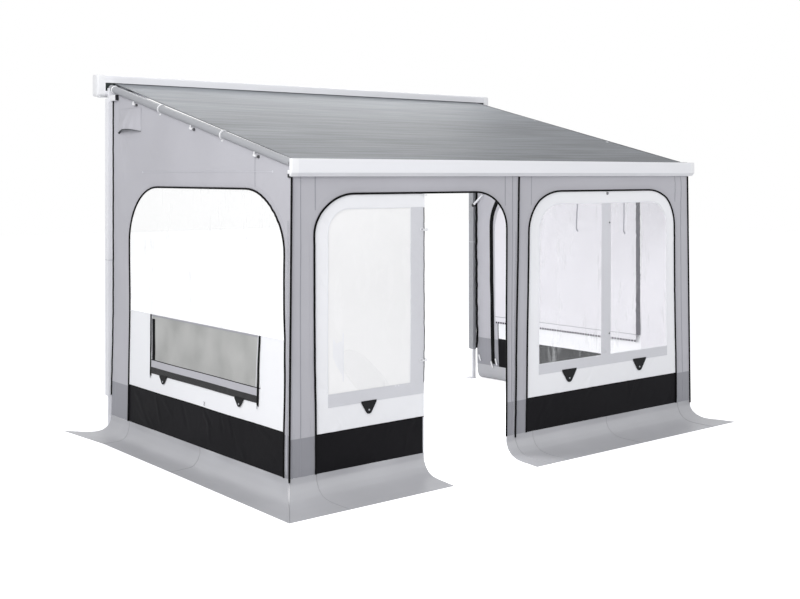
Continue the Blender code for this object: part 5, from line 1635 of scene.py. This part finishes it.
def make_curtain():
    """A drawn curtain with its foot, its zip and the part in front of it."""
    wall, low = STRAIGHT_WALLS[1], CURTAIN_FOOT
    front, rear = CURTAIN
    slack = Ripple(91, 0.005, 0.9)
    slack.scatter((front, rear, 0.7, 1.7), 14, 80, 14, 0.9, 0.05, 0.003)
    slack.scatter((front, rear, 0.6, 0.9), 12, 35, 20, 0.4, 0.03, 0.003)
    shoulder = [(rear - back, CURTAIN_TOP - drop) for back, drop in CURTAIN_SHOULDER]
    outline = [(front, low), (rear, low), *shoulder, (front, CURTAIN_TOP)]
    hung = {"lift": -0.030, "held": "hung", "rests_on": ["side_wall_right"]}
    cloth("inner_curtain", wall, outline, "curtain", slack, **hung)
    loose = Ripple(93, 0.004, 0.7).scatter((CURTAIN_START, front, 0.7, 1.8), 16, 75, 14, 0.5, 0.02, 0.002)
    before = rectangle(CURTAIN_START, front - 0.048, SIDE_BAND_TOP + 0.01, CURTAIN_TOP)
    cloth("inner_front_curtain", wall, before, "curtain", loose, **hung)
    strip("curtain_seam", wall, [(front, CURTAIN_SEAM), (rear, CURTAIN_SEAM)], 0.006, "strap", slack,
          lift=-0.032)
    for index, along in enumerate(np.arange(front, rear, CURTAIN_STITCH).tolist()):
        strip(f"curtain_zip_{index}", wall, [(along, low + 0.006), (along + 0.021, low + 0.006)],
              0.016, "crinkled", slack, lift=-0.033)
    crinkles = Ripple(92, 0.0, 1.0)
    crinkles.scatter((front - 0.05, front, CURTAIN_SEAM, CURTAIN_TOP), 60, 20, 50, 0.06, 0.010, 0.003)
    strip("curtain_edge_band", wall, [(front - 0.024, CURTAIN_SEAM), (front - 0.024, CURTAIN_TOP)], 0.044,
          "crinkled", crinkles, lift=-0.034, step=FINE_STEP)


make_inner_band()
make_curtain()


# Roof cloth

def roof_line(front, hang, rail_top):
    """The roof cloth's run in Y and Z: over the rail, up to the roller and round it, and its tangent."""
    roller_low, roller_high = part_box("fabric_roller")
    roller_y, roller_z = (roller_low.y + roller_high.y) / 2, (roller_low.z + roller_high.z) / 2
    radius = (roller_high.z - roller_low.z) / 2 + ROOF_LIFT
    rise, run = roller_z - rail_top, roller_y - hang
    angle = math.atan2(rise, run) + math.asin(radius / math.hypot(rise, run))
    top = Vector((roller_y - radius * math.sin(angle), roller_z + radius * math.cos(angle)))
    line = [(front, rail_top + ROOF_LIFT), (hang, rail_top + ROOF_LIFT)]
    for step in range(1, ROOF_STEPS + 1):
        share = step / ROOF_STEPS
        line.append((hang + (top.x - hang) * share,
                     rail_top + ROOF_LIFT + (top.y - rail_top - ROOF_LIFT) * share))
    for step in range(1, ROLLER_STEPS + 1):
        turn = angle + math.pi / 2 - math.radians(150) * step / ROLLER_STEPS
        line.append((roller_y + radius * math.cos(turn), roller_z + radius * math.sin(turn)))
    return line, top.x


def make_roof():
    """The roof cloth from the roller to the rail, a little slack between the rafters."""
    low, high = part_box("roof_cloth")
    rail_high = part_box("lead_rail")[1]
    hang = rail_high.y
    line, top = roof_line(low.y, hang, rail_high.z)
    chance = random.Random(71)
    waves = [(chance.uniform(0.5, 3.0), chance.uniform(0, math.tau), chance.uniform(0.3, 1.2))
             for _ in range(6)]
    spots = []
    for y, z in line:
        share = min(max((y - hang) / (top - hang), 0), 1)
        slack = math.sin(math.pi * share) ** 0.8
        for column in range(ROOF_COLUMNS + 1):
            side = column / ROOF_COLUMNS
            sag = -ROOF_SAG * slack * math.sin(math.pi * side)
            sag += ROOF_WAVE * slack * sum(height * math.sin(math.tau * turns * share + phase + side * 3)
                                           for turns, phase, height in waves)
            spots.append((low.x + (high.x - low.x) * side, y, z + sag))
    item = thicken(plain_item("roof_canvas", spots, grid_faces(len(line) - 1, ROOF_COLUMNS)), CLOTH_THICK)
    dress(item, "roof")
    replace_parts(item, "roof_cloth")
    for name, x in (("left", low.x + 0.001), ("right", high.x - 0.001)):
        edge = [(x, y, z + 0.001) for y, z in line[1:ROOF_STEPS]]
        tube("roof_hem_" + name, edge, 0.0035, "roof_edge")


make_roof()


# Skirts

def skirt_profile(count):
    """Shares out and shares high of a skirt's fall, as one smooth line."""
    knots = np.cumsum([0.0] + [math.dist(a, b) for a, b in zip(
        zip(SKIRT_OUT, SKIRT_HIGH), zip(SKIRT_OUT[1:], SKIRT_HIGH[1:]))])
    steps = np.linspace(0, knots[-1], PROFILE_STEPS)
    kernel = np.hanning(PROFILE_KERNEL)
    kernel /= kernel.sum()
    half = len(kernel) // 2
    smooth = []
    for shares in (SKIRT_OUT, SKIRT_HIGH):
        values = np.interp(steps, knots, shares)
        ahead = [2 * values[-1] - value for value in values[-2:-half - 2:-1]]
        behind = [2 * values[0] - value for value in values[half:0:-1]]
        smooth.append(np.convolve(np.concatenate((behind, values, ahead)), kernel, "valid"))
    places = np.linspace(0, len(steps) - 1, count).astype(int)
    return smooth[0][places], np.maximum(smooth[1][places], 0)


def skirt_columns(stations):
    """A skirt's columns between its stations, and at which column each station stands."""
    columns, marks = [], []
    for first, second in zip(stations, stations[1:]):
        length = math.dist(first[0], second[0]) + math.dist(first[2], second[2])
        count = max(2, math.ceil(length / 2 / SKIRT_STEP))
        marks.append(len(columns))
        for step in range(count):
            columns.append([Vector(a).lerp(Vector(b), step / count) for a, b in zip(first, second)])
    marks.append(len(columns))
    columns.append([Vector(point) for point in stations[-1]])
    return columns, marks


def skirt_spots(columns, seed):
    """Points of a skirt, column by column, and the length of its edge on the ground."""
    profile = list(zip(*skirt_profile(SKIRT_ROWS)))
    chance = random.Random(seed)
    waves = [(chance.uniform(2.0, 7.0), chance.uniform(0, math.tau), chance.uniform(0.2, 1.0))
             for _ in range(7)]
    spots, run = [], 0.0
    for index, (top, square, hem) in enumerate(columns):
        if index:
            run += (hem - columns[index - 1][2]).length
        outward = (square - top).normalized()
        for out, high in profile:
            spot = top.lerp(square, out) + (hem - square) * max(0, out)
            roll = sum(height * math.sin(math.tau * run / 3 * turns + phase + 4 * out)
                       for turns, phase, height in waves)
            lift = SKIRT_WAVE * roll * math.sin(math.pi * min(max(out, 0), 1)) ** 2
            spot = spot + outward * (SKIRT_WAVE * 1.5 * roll * high * (1 - high) * 4)
            spots.append((spot.x, spot.y, SKIRT_FLOOR + (HEM - SKIRT_FLOOR) * high + max(lift, 0)))
    return spots, run


def make_skirt(name, stations, seams, seed):
    """A smooth coated skirt from the wall's hem out over the ground.

    Each station has its point at the hem of the wall, the point on the ground square to it and
    the point where its own edge lies. The skirt's last column of points is handed back.
    """
    columns, marks = skirt_columns(stations)
    spots, run = skirt_spots(columns, seed)
    item = plain_item(name + "_cloth", spots, grid_faces(len(columns) - 1, SKIRT_ROWS - 1))
    lines = [spots[start:start + SKIRT_ROWS] for start in range(0, len(spots), SKIRT_ROWS)]
    thicken(item, SKIRT_THICK)
    dress(item, "skirt")
    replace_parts(item, name)
    for index, mark in enumerate(seams):
        facing = columns[marks[mark]]
        outward = (facing[1] - facing[0]).normalized() * SKIRT_SEAM_OUT
        raised = [(x + outward.x, y + outward.y, z + SKIRT_SEAM_RISE) for x, y, z in lines[marks[mark]]]
        tube(f"{name}_seam_{index}", raised, 0.0016, "skirt_seam")
    return lines[-1]


def hem_point(wall, along, out=0.0):
    """A place at the height of the hem, seen from above."""
    point = wall.point(along, HEM, out)
    return point.x, point.y


def front_station(along, ground, edge=None):
    """A station of a front skirt; its own edge may lie beside the point square to the wall."""
    square = (LEFT + along, ground)
    return hem_point(FRONT_WALL, along), square, square if edge is None else (edge, ground)


def left_stations(corner_top, corner_hem):
    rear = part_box("skirt_left")[1].y
    stations = [(hem_point(LEFT_WALL, DEPTH), (LEFT - SKIRT_REAR_OUT, REAR), (LEFT - SKIRT_REAR_OUT, rear))]
    for along, out in reversed(LEFT_HEM):
        ground = (LEFT - out, FRONT + along)
        stations.append((hem_point(LEFT_WALL, along), ground, ground))
    return stations + [(corner_top, (corner_hem[0], FRONT), corner_hem)]


def right_stations():
    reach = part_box("skirt_right")[1].x - RIGHT - SKIRT_RIGHT_GAP
    stations = []
    for share in RIGHT_SEAM_SHARES:
        ground = hem_point(RIGHT_WALL, DEPTH * share, reach)
        stations.append((hem_point(RIGHT_WALL, DEPTH * share), ground, ground))
    return stations


def make_skirts():
    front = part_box("skirt_front_left")[0].y
    corner_top = hem_point(LEFT_WALL, 0)
    corner_hem = (LEFT - SKIRT_CORNER[0], FRONT - SKIRT_CORNER[1])
    corner_line = make_skirt("skirt_left", left_stations(corner_top, corner_hem), (1, 2), 81)
    make_skirt("skirt_right", right_stations(), (1, 2), 82)

    door_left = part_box("skirt_front_left")[1].x - LEFT
    stations = [(corner_top, (LEFT, front), (corner_hem[0], front)), front_station(FRONT_LEFT_SEAM, front),
                front_station(door_left - 0.02, front, LEFT + door_left - 0.062),
                front_station(door_left, front, LEFT + door_left - 0.042)]
    make_skirt("skirt_front_left", stations, (1,), 83)

    door_right = span("front_wall_left", FRONT_WALL)[1] - SEAM + DOOR_EDGE
    stations = [front_station(door_right, front, LEFT + door_right - 0.055)]
    stations += [front_station(along, front) for along in FRONT_SEAMS]
    stations.append((hem_point(FRONT_WALL, WIDTH), (RIGHT, front), (RIGHT + 0.150, front)))
    make_skirt("skirt_front_right", stations, (1, 2, 3, 4), 84)
    pipe = [(x, y, max(z, SKIRT_CORNER_PIPE)) for x, y, z in corner_line]
    tube("skirt_corner_seam", pipe, SKIRT_CORNER_PIPE, "skirt")


make_skirts()


# Metal and plastic nodes

NODE_FINISHES = {
    "white_metal": ("case_housing", "lead_rail", "leg_upper", "rear_pole_foot", "rear_pole"),
    "grey_metal": ("wall_bracket", "arm_shoulder", "arm_inner", "arm_outer", "arm_wrist", "leg_hinge"),
    "inner_metal": ("fabric_roller", "leg_lower"),
    "rafter_metal": ("rafter_rear", "rafter_middle", "rafter_front"),
    # The right pole gets the darker copy: painted shade
    "pole_metal": ("rear_pole_right",),
    "white_plastic": ("case_cap", "rail_cap"),
    "dark_plastic": ("leg_foot",),
}


def finish_nodes():
    finishes = {kind: finish for finish, kinds in NODE_FINISHES.items() for kind in kinds}
    for name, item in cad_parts.items():
        kinds = [kind for kind in finishes if name.startswith(kind)]
        if not kinds or item.hide_render:
            continue
        item.data.materials.clear()
        item.data.materials.append(MATERIALS[finishes[max(kinds, key=len)]])


finish_nodes()


# Stage, light and camera

def rays(nodes, links, *kinds):
    """Socket that is 1 for any of these kinds of ray."""
    path = nodes.new("ShaderNodeLightPath")
    socket = path.outputs[kinds[0]]
    for kind in kinds[1:]:
        either = nodes.new("ShaderNodeMath")
        either.operation = "MAXIMUM"
        links.new(socket, either.inputs[0])
        links.new(path.outputs[kind], either.inputs[1])
        socket = either.outputs[0]
    return socket


def make_stage():
    """A pale floor that looks white to the camera and keeps the object's shadow."""
    bpy.ops.mesh.primitive_plane_add(size=FLOOR_SIZE, location=(0, 0, -FLOOR_DROP))
    floor = bpy.context.object
    floor.name = "studio_floor"
    material = bpy.data.materials.new("studio_floor")
    material.use_nodes = True
    nodes, links = material.node_tree.nodes, material.node_tree.links
    nodes.remove(nodes["Principled BSDF"])
    diffuse = nodes.new("ShaderNodeBsdfDiffuse")
    diffuse.inputs["Color"].default_value = FLOOR_COLOUR
    glow = nodes.new("ShaderNodeEmission")
    glow.inputs["Color"].default_value = WHITE
    part = nodes.new("ShaderNodeMath")
    part.operation = "MULTIPLY"
    part.inputs[1].default_value = FLOOR_GLOW
    links.new(rays(nodes, links, "Is Camera Ray", "Is Transmission Ray"), part.inputs[0])
    links.new(part.outputs[0], glow.inputs["Strength"])
    both = nodes.new("ShaderNodeAddShader")
    links.new(diffuse.outputs[0], both.inputs[0])
    links.new(glow.outputs[0], both.inputs[1])
    links.new(both.outputs[0], nodes["Material Output"].inputs["Surface"])
    floor.data.materials.append(material)


def make_world():
    """Soft light all round, and white behind the object and in its reflections."""
    world = bpy.data.worlds.new("studio")
    bpy.context.scene.world = world
    world.use_nodes = True
    nodes, links = world.node_tree.nodes, world.node_tree.links
    light = nodes["Background"]
    light.inputs["Color"].default_value = WORLD_COLOUR
    light.inputs["Strength"].default_value = WORLD_STRENGTH
    white = nodes.new("ShaderNodeBackground")
    white.inputs["Color"].default_value = WHITE
    mix = nodes.new("ShaderNodeMixShader")
    links.new(rays(nodes, links, "Is Camera Ray", "Is Transmission Ray", "Is Glossy Ray"), mix.inputs[0])
    links.new(light.outputs[0], mix.inputs[1])
    links.new(white.outputs[0], mix.inputs[2])
    links.new(mix.outputs[0], nodes["World Output"].inputs["Surface"])


def add_area(name, place, target, size, power):
    """A soft rectangular lamp that neither the camera nor clear film shows."""
    light = bpy.data.lights.new(name, "AREA")
    light.shape = "RECTANGLE"
    light.size, light.size_y = size
    light.energy = power
    item = link(bpy.data.objects.new(name, light))
    item.location = place
    item.rotation_euler = (Vector(target) - Vector(place)).to_track_quat("-Z", "Y").to_euler()
    item.visible_camera = False
    item.visible_transmission = False


def make_camera():
    data = bpy.data.cameras.new("photo_camera")
    item = link(bpy.data.objects.new("photo_camera", data))
    data.sensor_width = SENSOR
    data.sensor_fit = "HORIZONTAL"
    data.lens = FOCAL_PIXELS * SENSOR / PHOTO_WIDTH
    data.shift_y = (HORIZON_PIXEL - PHOTO_HEIGHT / 2) / PHOTO_WIDTH
    item.location = (LEFT + CAMERA_FROM_CORNER[0], FRONT + CAMERA_FROM_CORNER[1], CAMERA_HEIGHT)
    item.rotation_euler = (math.radians(90), 0, math.radians(-CAMERA_TURN))
    bpy.context.scene.camera = item


make_stage()
make_world()
for LAMP in LAMPS:
    add_area(*LAMP)
make_camera()
bpy.context.scene.view_settings.view_transform = "Standard"
